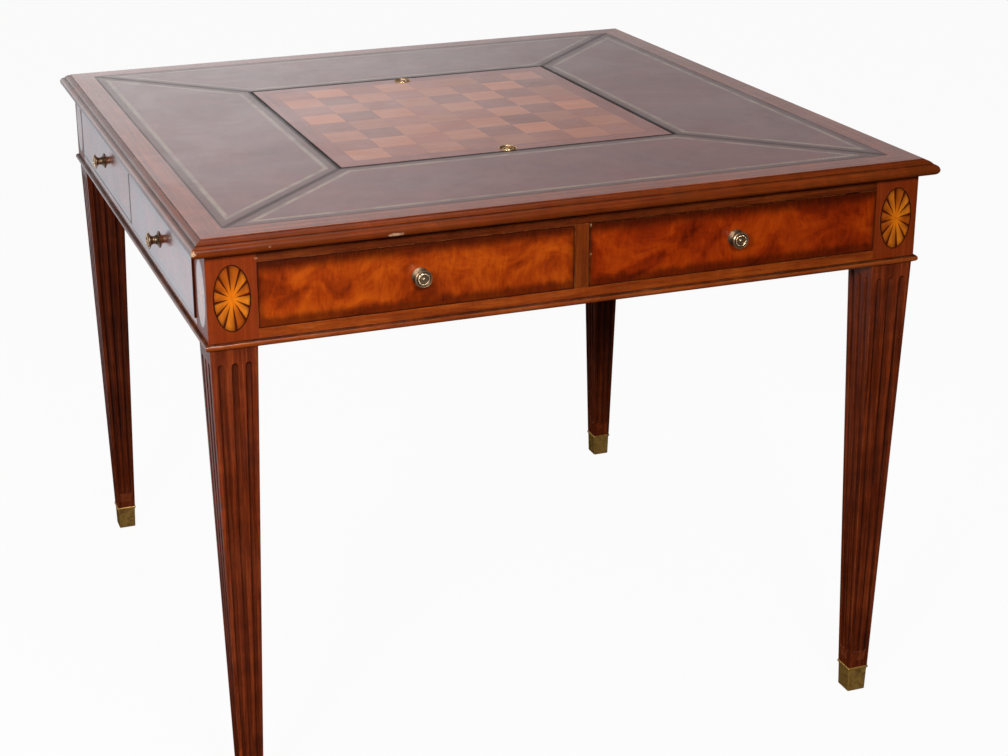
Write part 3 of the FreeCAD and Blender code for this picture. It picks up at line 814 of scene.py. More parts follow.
@dataclass(frozen=True)
class Satinwood(Finish):
    """Fan inlay: amber petals, each scorched to a dark wedge along its edges toward the rim."""

    amber: Colour
    honey: Colour
    heart: Colour
    scorch: Colour
    glue: Colour = (0.12, 0.02, 0.002)
    petals: int = 12
    rim_length: float = 0.0169
    turn: float = 0.27
    # Waves that turn equal angles into equal shares of the rim
    waves: tuple[Pair, ...] = ((2.0, -0.26705), (4.0, -0.00953))
    # Eased changes by share of the way to the rim
    heart_glow: Triple = (0.05, 0.65, 0.65)
    shaded_from: Pair = (0.25, 0.9)
    wedge_from: Pair = (0.16, 0.36)
    wedge_half: tuple[float, ...] = (0.10, 1.10, 0.0003, 0.0019)
    rim_scorch: tuple[float, ...] = (0.80, 0.96, 0.0, 0.45)
    # Eased changes by distance from the edge of a petal
    shading: Triple = (0.0005, 0.0080, 0.62)
    joint: Triple = (0.00005, 0.00025, 0.35)

    def paint(self, s: Surface) -> Look:
        """Petal figure, scorched wedges, joints between petals and polish.

        Args:
            s: wiring of the material.

        Returns:
            What the finish works out.
        """
        side = s.effect(s.effects.side_place)
        end = s.math("SIGN", side["Along"])
        wide = s.product(s.less(side["Along"], s.product(end, POST_AXIS)), 1 / OVAL[0])
        tall = s.product(s.less(side["Height"], BAY_MIDDLE), 1 / OVAL[1])
        share = s.math("SQRT", s.total(s.product(wide, wide), s.product(tall, tall)))
        angle = s.math("ARCTAN2", wide, tall)
        turns = s.raised(0.5 - self.turn, angle, self.petals / (2 * math.pi))
        for count, height in self.waves:
            turns = s.raised(turns, s.math("SINE", s.product(angle, count)), height)
        phase = s.math("FRACT", turns)
        number = s.math("FLOOR", turns)
        petal = s.product(share, self.rim_length)
        away = s.product(s.least(phase, s.rest(phase)), petal)
        chance = s.node("ShaderNodeTexWhiteNoise", {"W": s.total(number, end)}, noise_dimensions="1D")
        spoke = s.noise(s.vector(phase, share, number), (7.0, 1.6, 5.0))
        level = s.total(s.product(spoke, 0.45), s.product(chance.outputs["Value"], 0.55))
        colour = s.ramp(level, [(0.20, self.amber), (0.80, self.honey)])
        colour = s.mix(s.fade(share, *self.heart_glow), colour, self.heart)
        shaded = s.product(s.fade(s.product(phase, petal), *self.shading), s.step(share, *self.shaded_from))
        colour = s.mix(shaded, colour, self.scorch)
        half = s.step(share, *self.wedge_half)
        wedge = s.fade(away, s.product(half, 0.75), s.raised(0.0003, half, 1.1))
        colour = s.mix(s.product(wedge, s.step(share, *self.wedge_from), 0.95), colour, self.scorch)
        colour = s.mix(s.fade(away, *self.joint), colour, self.glue)
        colour = s.mix(s.step(share, *self.rim_scorch), colour, self.scorch)
        return Look(colour, s.polished(FRENCH_POLISH), s.product(spoke, 0.4))


@dataclass(frozen=True)
class TopLeather(Finish):
    """Glazed leather panels with tooled lines inset from their edges and mitres."""

    base: Colour
    pale: Colour
    margin: Colour
    line: Colour
    # Painted shade at the panels' edges, at the mitres and in the gap by the board
    seam_shade: Colour = (0.012, 0.006, 0.005)
    rough: Pair = (0.32, 0.46)
    outer_inset: float = 0.0150
    inner_inset: float = 0.0170
    mitre_inset: float = 0.0170
    dash: float = 0.0062
    crease_share: float = 0.12
    margin_share: float = 0.5
    # Start, end and strength of eased changes, as distances from an edge or from a tooled line
    margin_edge: Pair = (-0.0012, 0.0006)
    groove: Pair = (0.0012, 0.0050)
    outer_seam_shade: Triple = (0.0005, 0.0042, 0.6)
    mitre_seam_shade: Triple = (0.0005, 0.0070, 0.62)
    inner_gap_shade: Triple = (0.0012, 0.0075, 1.0)
    # Share of the glaze left in creases, between pebbles and on the margin
    crease_cover: float = 0.88
    pebble_cover: float = 0.95
    margin_cover: float = 0.80

    def paint(self, s: Surface) -> Look:
        """Cloudy hide, dashed tooling, creases, and painted shade along the edges and mitres of the panels
        and by the board.

        Args:
            s: wiring of the material.

        Returns:
            What the finish works out.
        """
        x, y, _ = s.parts(s.place)
        far_x, far_y = s.size(x), s.size(y)
        out = s.most(far_x, far_y)
        outer = s.less(LEATHER_EDGE, out)
        inner = s.less(out, OPENING)
        mitre = s.product(s.less(out, s.least(far_x, far_y)), math.sqrt(0.5))
        inside = s.least(s.less(outer, self.outer_inset), s.less(inner, self.inner_inset))
        inside = s.least(inside, s.less(mitre, self.mitre_inset))
        hide = s.effect(s.effects.hide_grain)
        colour = s.ramp(hide["Cloud"], [(0.32, self.base), (0.70, self.pale)])
        colour = s.mix(s.product(hide["Crease"], self.crease_share), colour, deepened(self.base, 0.5))
        outside = s.fade(inside, *self.margin_edge)
        colour = s.mix(s.product(outside, self.margin_share), colour, self.margin)
        # Painted shade along the edges, the mitres and the gap by the board, where the glaze is also left
        # off
        rim = s.most(s.fade(outer, *self.outer_seam_shade), s.fade(mitre, *self.mitre_seam_shade))
        rim = s.most(rim, s.fade(inner, *self.inner_gap_shade))
        colour = s.mix(rim, colour, self.seam_shade)
        travel = s.product(s.total(far_x, far_y), 2 * math.pi / self.dash)
        dashes = s.step(s.math("SINE", travel), -0.9, 0.1, 0.45, 1.0)
        groove = s.fade(s.size(inside), *self.groove)
        faded = s.step(s.noise(s.place, 30.0), 0.35, 0.6, 0.35, 0.85)
        colour = s.mix(s.product(groove, dashes, faded), colour, self.line)
        height = s.less(s.product(hide["Pebble"], 0.25), s.product(groove, 0.8))
        creased = s.step(hide["Crease"], 0.0, 1.0, 1.0, self.crease_cover)
        pebbled = s.step(hide["Pebble"], 0.0, 1.0, self.pebble_cover, 1.0)
        dulled = s.step(s.less(outside, groove), 0.0, 1.0, 1.0, self.margin_cover)
        cover = s.product(s.rest(rim), creased, pebbled, dulled)
        return Look(colour, s.polished(self.rough), height, cover)


@dataclass(frozen=True)
class PlainLeather(Finish):
    """Leather of one tone, for the well and its points."""

    base: Colour
    pale: Colour
    rough: Pair = (0.5, 0.65)

    def paint(self, s: Surface) -> Look:
        """Cloudy, pebbled, creased hide.

        Args:
            s: wiring of the material.

        Returns:
            What the finish works out.
        """
        hide = s.effect(s.effects.hide_grain)
        colour = s.ramp(hide["Cloud"], [(0.30, self.base), (0.72, self.pale)])
        colour = s.mix(s.product(hide["Crease"], 0.25), colour, deepened(self.base, 0.5))
        return Look(colour, s.step(hide["Cloud"], *SMEARS, *self.rough), hide["Pebble"])


@dataclass(frozen=True)
class BoardVeneer(Wood):
    """Veneer squares of the board, each from its own leaf."""

    spread: float = 0.35
    leaf_share: float = 0.45
    joint: Triple = (0.003, 0.012, 0.28)

    def paint(self, s: Surface) -> Look:
        """Grain that starts afresh in each square, tone by square, joint lines and polish.

        Args:
            s: wiring of the material.

        Returns:
            What the finish works out.
        """
        x, y, _ = s.parts(s.place)
        column = s.raised(4.0, x, 1 / SQUARE)
        row = s.raised(4.0, y, 1 / SQUARE)
        index = s.vector(s.math("FLOOR", column), s.math("FLOOR", row), 0.0)
        drawn = s.node("ShaderNodeTexWhiteNoise", {"Vector": index}, noise_dimensions="3D")
        chance = drawn.outputs["Value"]
        shift = s.product(chance, 4.0)
        colour, grain = self.tone(s, s.vector(s.total(x, shift), y, shift))
        stops = [(0.0, deepened(self.mid, 1 - self.spread)), (1.0, deepened(self.light, 1 + self.spread))]
        colour = s.mix(self.leaf_share, colour, s.ramp(chance, stops))
        beside = [s.size(s.less(s.math("FRACT", s.total(line, 0.5)), 0.5)) for line in (column, row)]
        joint = s.fade(s.least(*beside), *self.joint)
        colour = s.mix(joint, colour, deepened(self.dark, 0.3))
        height = s.less(s.product(grain["Fibre"], 0.4), s.product(joint, 0.6))
        return Look(colour, s.polished(self.rough, SCRATCH), height)


@dataclass(frozen=True)
class Brass(Finish):
    """Old brass, bright where it is touched and brown where it is not."""

    bright: Colour
    brown: Colour
    rough: Pair
    pit: Colour = (0.05, 0.025, 0.010)

    def paint(self, s: Surface) -> Look:
        """Tarnish clouds, wear lines, pits, and grime and painted shade in hollows.

        Args:
            s: wiring of the material.

        Returns:
            What the finish works out.
        """
        age = s.effect(s.effects.brass_age)
        # Grime and painted shade in hollows dull the brass toward brown
        dull = s.most(s.product(age["Tarnish"], 0.7), s.attribute("grime"))
        dull = s.most(s.less(dull, s.product(s.attribute("rub"), 0.5)), 0.0)
        colour = s.mix(dull, self.bright, self.brown)
        colour = s.mix(s.product(age["Pits"], 0.5), colour, self.pit)
        rough = s.total(s.step(dull, 0.0, 1.0, *self.rough), s.product(age["Lines"], 0.08))
        height = s.less(s.product(age["Lines"], 0.2), s.product(age["Pits"], 0.4))
        return Look(colour, rough, height)


LACQUER = Gloss(coat=1.0, coat_roughness=0.14, coat_ior=2.0, specular=0.1, bump=0.12)
BORDER_POLISH = Gloss(coat=1.0, coat_roughness=0.19, coat_ior=2.1, specular=0.1, bump=0.12)
BOARD_POLISH = Gloss(coat=0.9, coat_roughness=0.18, coat_ior=1.85, specular=0.2, bump=0.12)
RUBBED = Gloss(coat=0.16, coat_roughness=0.26, coat_ior=1.6, specular=0.2, bump=0.2)
GLAZE = Gloss(coat=1.0, coat_roughness=0.22, coat_ior=1.9, specular=0.3, bump=0.22)
WAXED = Gloss(coat=0.15, coat_roughness=0.4, specular=0.4, bump=0.25)
METAL = Gloss(metal=0.85, bump=0.08)
DULL_METAL = Gloss(metal=0.70, bump=0.10)

FINISHES: tuple[Finish, ...] = (
    BorderWood("border_mahogany", BORDER_POLISH, (0.095, 0.014, 0.005), (0.235, 0.042, 0.014),
               (0.40, 0.086, 0.028), (0.150, 0.027, 0.0026), fineness=2.2),
    Wood("rail_mahogany", LACQUER, (0.105, 0.0140, 0.0016), (0.255, 0.042, 0.0045), (0.41, 0.086, 0.009)),
    # A darker copy of rail mahogany: painted shade under the overhang of the top
    Wood("upper_rail_mahogany", LACQUER, (0.040, 0.0052, 0.0008), (0.110, 0.0170, 0.0024),
         (0.21, 0.040, 0.006), (0.20, 0.05, 0.012)),
    # Stiles: their edges darkened as painted shade of the gaps beside the fronts
    EdgedWood("stile_mahogany", RUBBED, (0.072, 0.010, 0.001), (0.165, 0.028, 0.002), (0.30, 0.062, 0.004),
              grain=Grain.UPRIGHT, rise=(0.0083, 0.0092), strength=0.85, dirt_and_shade=(0.012, 0.003, 0.001)),
    LegWood("fluted_mahogany", RUBBED, (0.026, 0.0031, 0.0009), (0.130, 0.0180, 0.0034),
            (0.295, 0.050, 0.0100), (0.23, 0.050, 0.014), Grain.UPRIGHT, fineness=2.6),
    FlameWood("flame_veneer", LACQUER, (0.100, 0.0085, 0.0006), (0.310, 0.035, 0.0012),
              (0.51, 0.083, 0.0028), (0.070, 0.0070, 0.0006), (0.80, 0.54, 0.6)),
    Satinwood("satinwood_fan", LACQUER, (0.36, 0.064, 0.004), (0.70, 0.20, 0.012), (0.88, 0.21, 0.003),
              (0.060, 0.006, 0.0008)),
    Wood("ebony_line", LACQUER, (0.020, 0.004, 0.001), (0.045, 0.008, 0.002), (0.080, 0.016, 0.004),
         (0.10, 0.02, 0.006), Grain.UPRIGHT),
    TopLeather("top_leather", GLAZE, (0.130, 0.027, 0.024), (0.200, 0.047, 0.041), (0.075, 0.043, 0.030),
               (0.36, 0.265, 0.180)),
    BoardVeneer("light_veneer", BOARD_POLISH, (0.32, 0.078, 0.026), (0.43, 0.116, 0.044),
                (0.54, 0.164, 0.068), pores=0.3),
    BoardVeneer("dark_veneer", BOARD_POLISH, (0.18, 0.036, 0.016), (0.285, 0.064, 0.031),
                (0.38, 0.098, 0.050), pores=0.3),
    # Band: its outer edge darkened as painted shade of the gap by the leather
    EdgedWood("board_band", BOARD_POLISH, (0.16, 0.030, 0.014), (0.255, 0.052, 0.030), (0.36, 0.082, 0.046),
              measure=Measure.OUT, rise=(0.2304, 0.2320)),
    Wood("inside_mahogany", WAXED, (0.060, 0.016, 0.006), (0.12, 0.036, 0.014), (0.19, 0.065, 0.026),
         grain=Grain.LEFT_TO_RIGHT),
    Wood("waxed_oak", WAXED, (0.20, 0.105, 0.042), (0.36, 0.21, 0.095), (0.50, 0.32, 0.16),
         (0.55, 0.38, 0.2), rough=(0.5, 0.68)),
    Wood("bare_pine", WAXED, (0.24, 0.125, 0.048), (0.38, 0.225, 0.10), (0.50, 0.32, 0.16),
         (0.55, 0.38, 0.2), rough=(0.55, 0.75)),
    PlainLeather("green_leather", WAXED, (0.020, 0.030, 0.016), (0.045, 0.060, 0.034)),
    PlainLeather("buff_leather", WAXED, (0.42, 0.30, 0.16), (0.58, 0.44, 0.26)),
    PlainLeather("red_leather", WAXED, (0.16, 0.018, 0.012), (0.27, 0.035, 0.022)),
    Brass("knob_brass", METAL, (0.66, 0.46, 0.29), (0.070, 0.034, 0.014), (0.22, 0.42)),
    Brass("foot_brass", DULL_METAL, (0.80, 0.45, 0.11), (0.15, 0.058, 0.012), (0.30, 0.52)),
    Brass("pull_brass", METAL, (0.84, 0.57, 0.29), (0.20, 0.085, 0.026), (0.16, 0.4)),
)


class Finishes:
    """Every material of the table, built once and kept by name."""

    def __init__(self, effects: Effects) -> None:
        """Builds the materials from the shared effects."""
        self.made = {finish.name: finish.build(effects) for finish in FINISHES}

    def __getitem__(self, name: str) -> bpy.types.Material:
        """The material of that name."""
        return self.made[name]


class Draft:
    """Points and faces of one mesh, with a wear value and a value of grime and painted shade for each face.
    """

    weld: ClassVar[float] = 1e-6

    def __init__(self) -> None:
        """Starts empty."""
        self.points: list[Vector] = []
        self.faces: list[tuple[list[int], float, float]] = []

    def row(self, places: Iterable[Vector]) -> list[int]:
        """Adds a row of points.

        Args:
            places: where they are.

        Returns:
            Their numbers.
        """
        start = len(self.points)
        self.points += places
        return list(range(start, len(self.points)))

    def face(self, corners: Sequence[int], rub: float = 0.0, grime: float = 0.0) -> None:
        """Adds a face, leaving out corners that fall together.

        Args:
            corners: numbers of its points.
            rub: its wear.
            grime: its grime and painted shade.
        """
        kept: list[int] = []
        for corner in corners:
            if all((self.points[corner] - self.points[other]).length > self.weld / 10 for other in kept):
                kept.append(corner)
        if len(kept) > 2:
            self.faces.append((kept, rub, grime))

    def loft(self, rows: Sequence[Sequence[int]], wrap: bool, rub: ByFace | None = None,
             grime: ByFace | None = None) -> None:
        """Joins rows of points by faces.

        Args:
            rows: numbers of the points, the same count in each row.
            wrap: whether each row closes on itself.
            rub: wear of a face from its row and column, if any.
            grime: grime and painted shade of a face from its row and column, if any.
        """
        count = len(rows[0])
        for r in range(len(rows) - 1):
            for c in range(count if wrap else count - 1):
                n = (c + 1) % count
                corners = [rows[r][c], rows[r][n], rows[r + 1][n], rows[r + 1][c]]
                self.face(corners, rub(r, c) if rub else 0.0, grime(r, c) if grime else 0.0)

    def turned(self, profile: Sequence[Pair], place: Matrix, sides: int,
               grime: ByFace | None = None) -> None:
        """Adds a turned shape about the upright axis, then moved to its place.

        Args:
            profile: (radius, height) points from one end to the other.
            place: where the axis goes.
            sides: faces round the axis.
            grime: grime and painted shade of a face from its row and column, if any.
        """
        rows = []
        for radius, height in profile:
            ring = arc((0.0, 0.0), radius, 0.0, 360.0, sides)[:-1]
            rows.append(self.row(place @ Vector((x, y, height)) for x, y in ring))
        self.loft(rows, True, grime=grime)

    def mesh(self, name: str, sharp: float = SHARP_TURN) -> bpy.types.Mesh:
        """Makes the mesh, welded, with outward faces, smooth but for sharp edges.

        Args:
            name: the mesh's name.
            sharp: angle in degrees from which an edge stays sharp.

        Returns:
            The new mesh, with its wear and its grime and painted shade kept by face.
        """
        build = bmesh.new()
        rub = build.faces.layers.float.new("rub")
        grime = build.faces.layers.float.new("grime")
        made = [build.verts.new(place) for place in self.points]
        for corners, worn, dirty in self.faces:
            new = build.faces.new([made[corner] for corner in corners])
            new[rub] = worn
            new[grime] = dirty
        bmesh.ops.remove_doubles(build, verts=build.verts, dist=self.weld)
        loose = [vert for vert in build.verts if not vert.link_faces]
        bmesh.ops.delete(build, geom=loose, context="VERTS")
        bmesh.ops.recalc_face_normals(build, faces=build.faces)
        return smoothed(build, name, sharp)


def smoothed(build: bmesh.types.BMesh, name: str, sharp: float) -> bpy.types.Mesh:
    """Ends the work on a mesh: smooth faces, with sharp edges where they turn.

    Args:
        build: the mesh in work, which is freed.
        name: the mesh's name.
        sharp: angle in degrees from which an edge stays sharp.

    Returns:
        The new mesh.
    """
    for face in build.faces:
        face.smooth = True
    mesh = bpy.data.meshes.new(name)
    build.to_mesh(mesh)
    build.free()
    mesh.set_sharp_from_angle(angle=math.radians(sharp))
    return mesh


def arc(centre: Pair, radius: float, start: float, end: float, steps: int) -> list[Pair]:
    """Points of an arc in a plane.

    Args:
        centre: middle of the arc.
        radius: its radius.
        start: first angle in degrees.
        end: last angle in degrees.
        steps: pieces the arc is divided in.

    Returns:
        The points, both ends included.
    """
    points = []
    for index in range(steps + 1):
        angle = math.radians(start + (end - start) * index / steps)
        points.append((centre[0] + radius * math.cos(angle), centre[1] + radius * math.sin(angle)))
    return points


def softened(node: str, width: float) -> bpy.types.Mesh:
    """Copy of a CAD node's mesh with its arrises rounded over.

    Args:
        node: the node's name.
        width: width of the rounding in metres.

    Returns:
        A new mesh that keeps rub 1 on the rounded faces.
    """
    build = bmesh.new()
    build.from_mesh(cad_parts[node].data)
    bmesh.ops.remove_doubles(build, verts=build.verts, dist=Draft.weld)
    flat = math.radians(FLAT_TURN)
    bmesh.ops.dissolve_limit(build, angle_limit=flat, verts=build.verts, edges=build.edges)
    rub = build.faces.layers.float.new("rub")
    turn = math.radians(ARRIS_TURN)
    arrises = [edge for edge in build.edges if edge.is_manifold and edge.calc_face_angle() > turn]
    rounded = bmesh.ops.bevel(build, geom=arrises, offset=width, segments=2, profile=0.6, affect="EDGES",
                              clamp_overlap=True)
    for new in rounded["faces"]:
        new[rub] = 1.0
    return smoothed(build, node + "_soft", SOFT_SHARP_TURN)


def evened(mesh: bpy.types.Mesh) -> bpy.types.Mesh:
    """Copy of a mesh whose shading follows its broad faces, so that narrow roundings leave them flat.

    Args:
        mesh: the mesh, with its sharp edges marked.

    Returns:
        A new mesh that carries its own normals.
    """
    holder = bpy.data.objects.new(mesh.name, mesh)
    bpy.context.scene.collection.objects.link(holder)
    weighting = holder.modifiers.new("weighting", "WEIGHTED_NORMAL")
    weighting.keep_sharp = True
    result = bpy.data.meshes.new_from_object(holder.evaluated_get(bpy.context.evaluated_depsgraph_get()))
    bpy.data.objects.remove(holder)
    return result


@dataclass
class Piece:
    """A mesh of the scene that takes the place of a CAD node."""

    name: str
    node: str
    slot: str
    body: str = "table"

    def add(self, mesh: bpy.types.Mesh, material: bpy.types.Material) -> None:
        """Links the mesh to the scene as this piece, riding on its body.

        Args:
            mesh: the piece's shape.
            material: its finish.
        """
        mesh = evened(mesh)
        mesh.materials.clear()
        mesh.materials.append(material)
        made = bpy.data.objects.new(self.name, mesh)
        bpy.context.scene.collection.objects.link(made)
        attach(made, self.body)
        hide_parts(self.node)
        LOG.info("%s: %d faces on %s", self.name, len(mesh.polygons), self.body)


def dress(material: bpy.types.Material, *nodes: str) -> None:
    """Gives CAD nodes a material and leaves their meshes as they are.

    Args:
        material: the finish.
        nodes: names of the nodes.
    """
    for name in nodes:
        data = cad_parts[name].data
        data.materials.clear()
        data.materials.append(material)
        LOG.info("%s: %s", name, material.name)


class Assembly:
    """A part of the table that adds its own pieces."""

    def build(self, finishes: Finishes) -> None:
        """Adds the pieces; each part has its own way."""
        raise NotImplementedError


@dataclass
class TopBorder(Assembly):
    """Mitred moulded border round the top: a step, an ovolo and a half-round nose."""

    inner: float = LEATHER_EDGE
    flat: float = 0.4675
    soft: float = 0.0004
    step: float = 0.0012
    shoulder: float = 0.4756
    shoulder_height: float = 0.7650
    ovolo_bulge: float = 0.0010
    ovolo_steps: int = 6
    nose_height: float = 0.7638
    nose_radius: float = 0.0069
    nose_turn: Pair = (88.0, -90.0)
    nose_steps: int = 14
    lengths: int = 12
    rub: ClassVar[dict[Side, float]] = {Side.LEFT: 0.35}
    other_rub: float = 0.9
    # Grime and painted shade by row of the section, most at the foot of the step and above the nose; the top
    # of the ovolo and the nose get less, so that they read lighter as a painted highlight
    grime: ClassVar[dict[int, float]] = {0: 0.0, 4: 0.9, 5: 0.1, 6: 0.2, 10: 1.0, 11: 1.0, 12: 0.9, 13: 0.7}
    other_grime_and_shade: float = 0.4
    nose_grime_and_shade: float = 0.26
    nose_row: int = 12
    # Share of that grime and painted shade which each side holds
    held: ClassVar[dict[Side, float]] = {Side.LEFT: 1.0}
    other_held: float = 0.7

    def profile(self) -> list[Pair]:
        """Section of the border as (distance out, height) points, closed.

        Returns:
            The points, from the inner edge over the top and the nose to the underside.
        """
        step_foot = TOP - self.step
        points = [(self.inner, TOP), (self.flat - self.soft, TOP)]
        points.append((self.flat - self.soft * 0.3, TOP - self.soft * 0.3))
        points += [(self.flat, TOP - self.soft), (self.flat, step_foot)]
        run = self.shoulder - self.flat
        drop = step_foot - self.shoulder_height
        for index in range(1, self.ovolo_steps + 1):
            share = index / self.ovolo_steps
            bulge = self.ovolo_bulge * math.sin(math.pi * share)
            points.append((self.flat + run * share, step_foot - drop * share + bulge))
        points.append((self.shoulder, self.nose_height))
        centre = (self.shoulder, self.nose_height - self.nose_radius)
        points += arc(centre, self.nose_radius, *self.nose_turn, self.nose_steps)
        points.append((self.inner, UNDERSIDE))
        return points

    def dirt_and_shade(self, row: int) -> float:
        """Grime and painted shade of a row of the section."""
        return self.grime.get(row, self.other_grime_and_shade if row < self.nose_row else self.nose_grime_and_shade)

    def build(self, finishes: Finishes) -> None:
        """Adds the four lengths.

        Args:
            finishes: the materials.
        """
        shares = [2 * index / self.lengths - 1 for index in range(self.lengths + 1)]
        for side in Side:
            draft = Draft()
            rows = [draft.row(side.turn @ Vector((out * share, -out, height)) for share in shares)
                    for out, height in self.profile()]
            worn = self.rub.get(side, self.other_rub)
            held = self.held.get(side, self.other_held)
            draft.loft(rows + [rows[0]], False, lambda r, c: 0.0 if r == 0 else worn,
                       lambda r, c: held * self.dirt_and_shade(r))
            draft.face([row[0] for row in rows])
            draft.face([row[-1] for row in rows])
            node = "top_border_" + side.label
            piece = Piece("border_" + side.label, node, "mahogany")
            piece.add(draft.mesh(node + "_shaped"), finishes["border_mahogany"])


@dataclass
class BeadMoulding(Assembly):
    """Half-round bead along the foot of the apron, mitred at the corners."""

    radius: float = 0.0044
    height: float = 0.6375
    steps: int = 12
    top_rows: int = 4
    rub: float = 0.4
    # Grime and painted shade on the top rows under the rail and on the lowest row
    grime: float = 0.9
    shares: tuple[float, ...] = (-1, -0.5, 0, 0.5, 1)

    def build(self, finishes: Finishes) -> None:
        """Adds the bead of all four sides as one piece.

        Args:
            finishes: the materials.
        """
        section = arc((FACE, self.height), self.radius, 90, -90, self.steps)
        draft = Draft()
        for side in Side:
            rows = [draft.row(side.turn @ Vector((share * out, -out, height)) for share in self.shares)
                    for out, height in section]
            draft.loft(rows + [rows[0]], False, lambda r, c: 1.0 if r < self.top_rows else self.rub,
                       lambda r, c: self.grime if r < self.top_rows or r == self.steps - 1 else 0.0)
        piece = Piece("bead_strip", "bead_moulding", "mahogany")
        piece.add(draft.mesh("bead_strip_shaped"), finishes["rail_mahogany"])


@dataclass
class Leg(Assembly):
    """Square tapered leg with three stopped flutes on each face, in one piece with its corner post."""

    foot: float = 0.002
    foot_width: float = 0.0271
    foot_inset: float = 0.0017
    shoulder: float = 0.03755
    plain_height: float = 0.048
    top_width: float = 0.0575
    flute_low: float = 0.0625
    flute_high: float = 0.610
    pitch: Pair = (0.0086, 0.0165)
    radius: Pair = (0.0022, 0.0042)
    flutes: tuple[int, ...] = (-1, 0, 1)
    arris: float = 0.0009
    arc_steps: int = 10
    nose_steps: int = 7
    flute_lengths: int = 6
    first_row: int = 2
    rubbed_row: int = 11
    # Paler lands' edges: wear, and a painted highlight along the flutes
    land_edge_wear_and_highlight: float = 0.6
    flute_grime_and_shade: float = 0.6
    oval_steps: int = 64
    recess: float = 0.0012
    post_arris_steps: int = 6

    def half(self, height: float) -> float:
        """Half the leg's width at a height."""
        share = (height - self.foot) / (LEG_TOP - self.foot)
        return (self.foot_width + (self.top_width - self.foot_width) * share) / 2

    def flute_at(self, height: float) -> Pair:
        """Flutes of a section.

        Args:
            height: where the section is.

        Returns:
            Their pitch and the radius of their hollow.
        """
        share = (height - self.flute_low) / (self.flute_high - self.flute_low)
        clipped = min(max(share, 0.0), 1.0)
        pitch = self.pitch[0] + (self.pitch[1] - self.pitch[0]) * clipped
        radius = self.radius[0] + (self.radius[1] - self.radius[0]) * clipped
        past = max(self.flute_low - height, height - self.flute_high, 0.0)
        return pitch, math.sqrt(max(radius * radius - past * past, 0.0))

    def levels(self) -> list[Pair]:
        """Heights of the sections from foot to top.

        Returns:
            Each height, with how far the faces are set in there.
        """
        turns = [math.pi / 2 * index / self.nose_steps for index in range(self.nose_steps + 1)]
        low_nose = [self.flute_low - self.radius[0] * math.cos(turn) for turn in turns]
        high_nose = [self.flute_high + self.radius[1] * math.sin(turn) for turn in turns]
        run = self.flute_high - self.flute_low
        shares = [index / self.flute_lengths for index in range(1, self.flute_lengths)]
        middle = [self.flute_low + run * share for share in shares]
        foot = [(self.foot, self.foot_inset), (self.shoulder, self.foot_inset), (self.shoulder, 0.0)]
        heights = (self.plain_height, *low_nose, *middle, *high_nose, LEG_TOP)
        return foot + [(height, 0.0) for height in heights]

    def section(self, height: float, inset: float) -> list[Triple]:
        """Points of one face, then of the arris after it.

        Args:
            height: where the section is.
            inset: how far its faces are set in.

        Returns:
            The points as (across, outward, height).
        """
        half = self.half(height) - inset
        inner = half - self.arris
        pitch, radius = self.flute_at(height)
        points = [(-inner, half)]
        for number in self.flutes:
            points += arc((number * pitch, half), radius, -180, 0, self.arc_steps)
        points.append((inner, half))
        points += arc((inner, inner), self.arris, 60, 30, 1)
        return [(across, outward, height) for across, outward in points]

    def rub(self, row: int, column: int) -> float:
        """Wear of the arrises and of the faces just above the foot, and wear with a painted highlight along
        the lands' edges.

        Args:
            row: row of the face, from the foot.
            column: column of the face, from the left of its side.

        Returns:
            The wear, from 0 to 1.
        """
        last = 1 + len(self.flutes) * (self.arc_steps + 1)
        between = 0 < column < last - 1
        if column >= last or (between and self.first_row < row < self.rubbed_row):
            return 1.0
        beside = (column - 1) % (self.arc_steps + 1) in (0, self.arc_steps - 1)
        return self.land_edge_wear_and_highlight if beside and between else 0.0

    def grime(self, column: int) -> float:
        """Grime and painted shade in the flutes, most at the bottom of the hollow.

        Args:
            column: column of the face, from the left of its side.

        Returns:
            The grime and painted shade, from 0 to 1.
        """
        last = 1 + len(self.flutes) * (self.arc_steps + 1)
        index = (column - 1) % (self.arc_steps + 1)
        if column == 0 or column >= last - 1 or index >= self.arc_steps:
            return 0.0
        return self.flute_grime_and_shade * math.sin(math.pi * (index + 0.5) / self.arc_steps)

    def fluted_part(self, draft: Draft, place: Matrix) -> None:
        """Adds the tapered leg below the post.

        Args:
            draft: mesh to add to.
            place: where the leg's axis goes.
        """
        rows = []
        for height, inset in self.levels():
            points = self.section(height, inset)
            rows.append(draft.row(place @ quarter_turn(-quarter) @ Vector(point)
                                  for quarter in range(4) for point in points))
        per_face = len(rows[0]) // 4
        fluted = range(self.first_row + 1, len(rows) - 2)
        draft.loft(rows, True, lambda r, c: self.rub(r, c % per_face),
                   lambda r, c: self.grime(c % per_face) if r in fluted else 0.0)
        draft.face(rows[0])
        draft.face(rows[-1])

    def post_face(self, draft: Draft, put: Callable[[float, float, float], Vector]) -> None:
        """Adds one outer face of the post with the oval recess of its inlay.

        Args:
            draft: mesh to add to.
            put: places a point given across, outward and height.
        """
        left, right = -POST_HALF, POST_HALF - self.arris
        count = self.oval_steps
        circle = arc((0.0, 0.0), 1.0, 0.0, 360.0, count)[:-1]
        oval = [(OVAL[0] * x, BAY_MIDDLE + OVAL[1] * y) for x, y in circle]
        rim = draft.row(put(across, POST_HALF, height) for across, height in oval)
        floor = draft.row(put(across, POST_HALF - self.recess, height) for across, height in oval)
        low, high = LEG_TOP, UNDERSIDE
        outline = [(right, BAY_MIDDLE), (right, high), (0.0, high), (left, high), (left, BAY_MIDDLE),
                   (left, low), (0.0, low), (right, low), (right, BAY_MIDDLE)]
        quarter = count // 4
        for index in range(4):
            corner = outline[2 * index:2 * index + 3]
            outer = draft.row(put(across, POST_HALF, height) for across, height in corner)
            inner = [rim[(index * quarter + k) % count] for k in range(quarter, -1, -1)]
            draft.face(outer + inner)
        draft.loft([rim, floor], True)
        draft.face(floor)

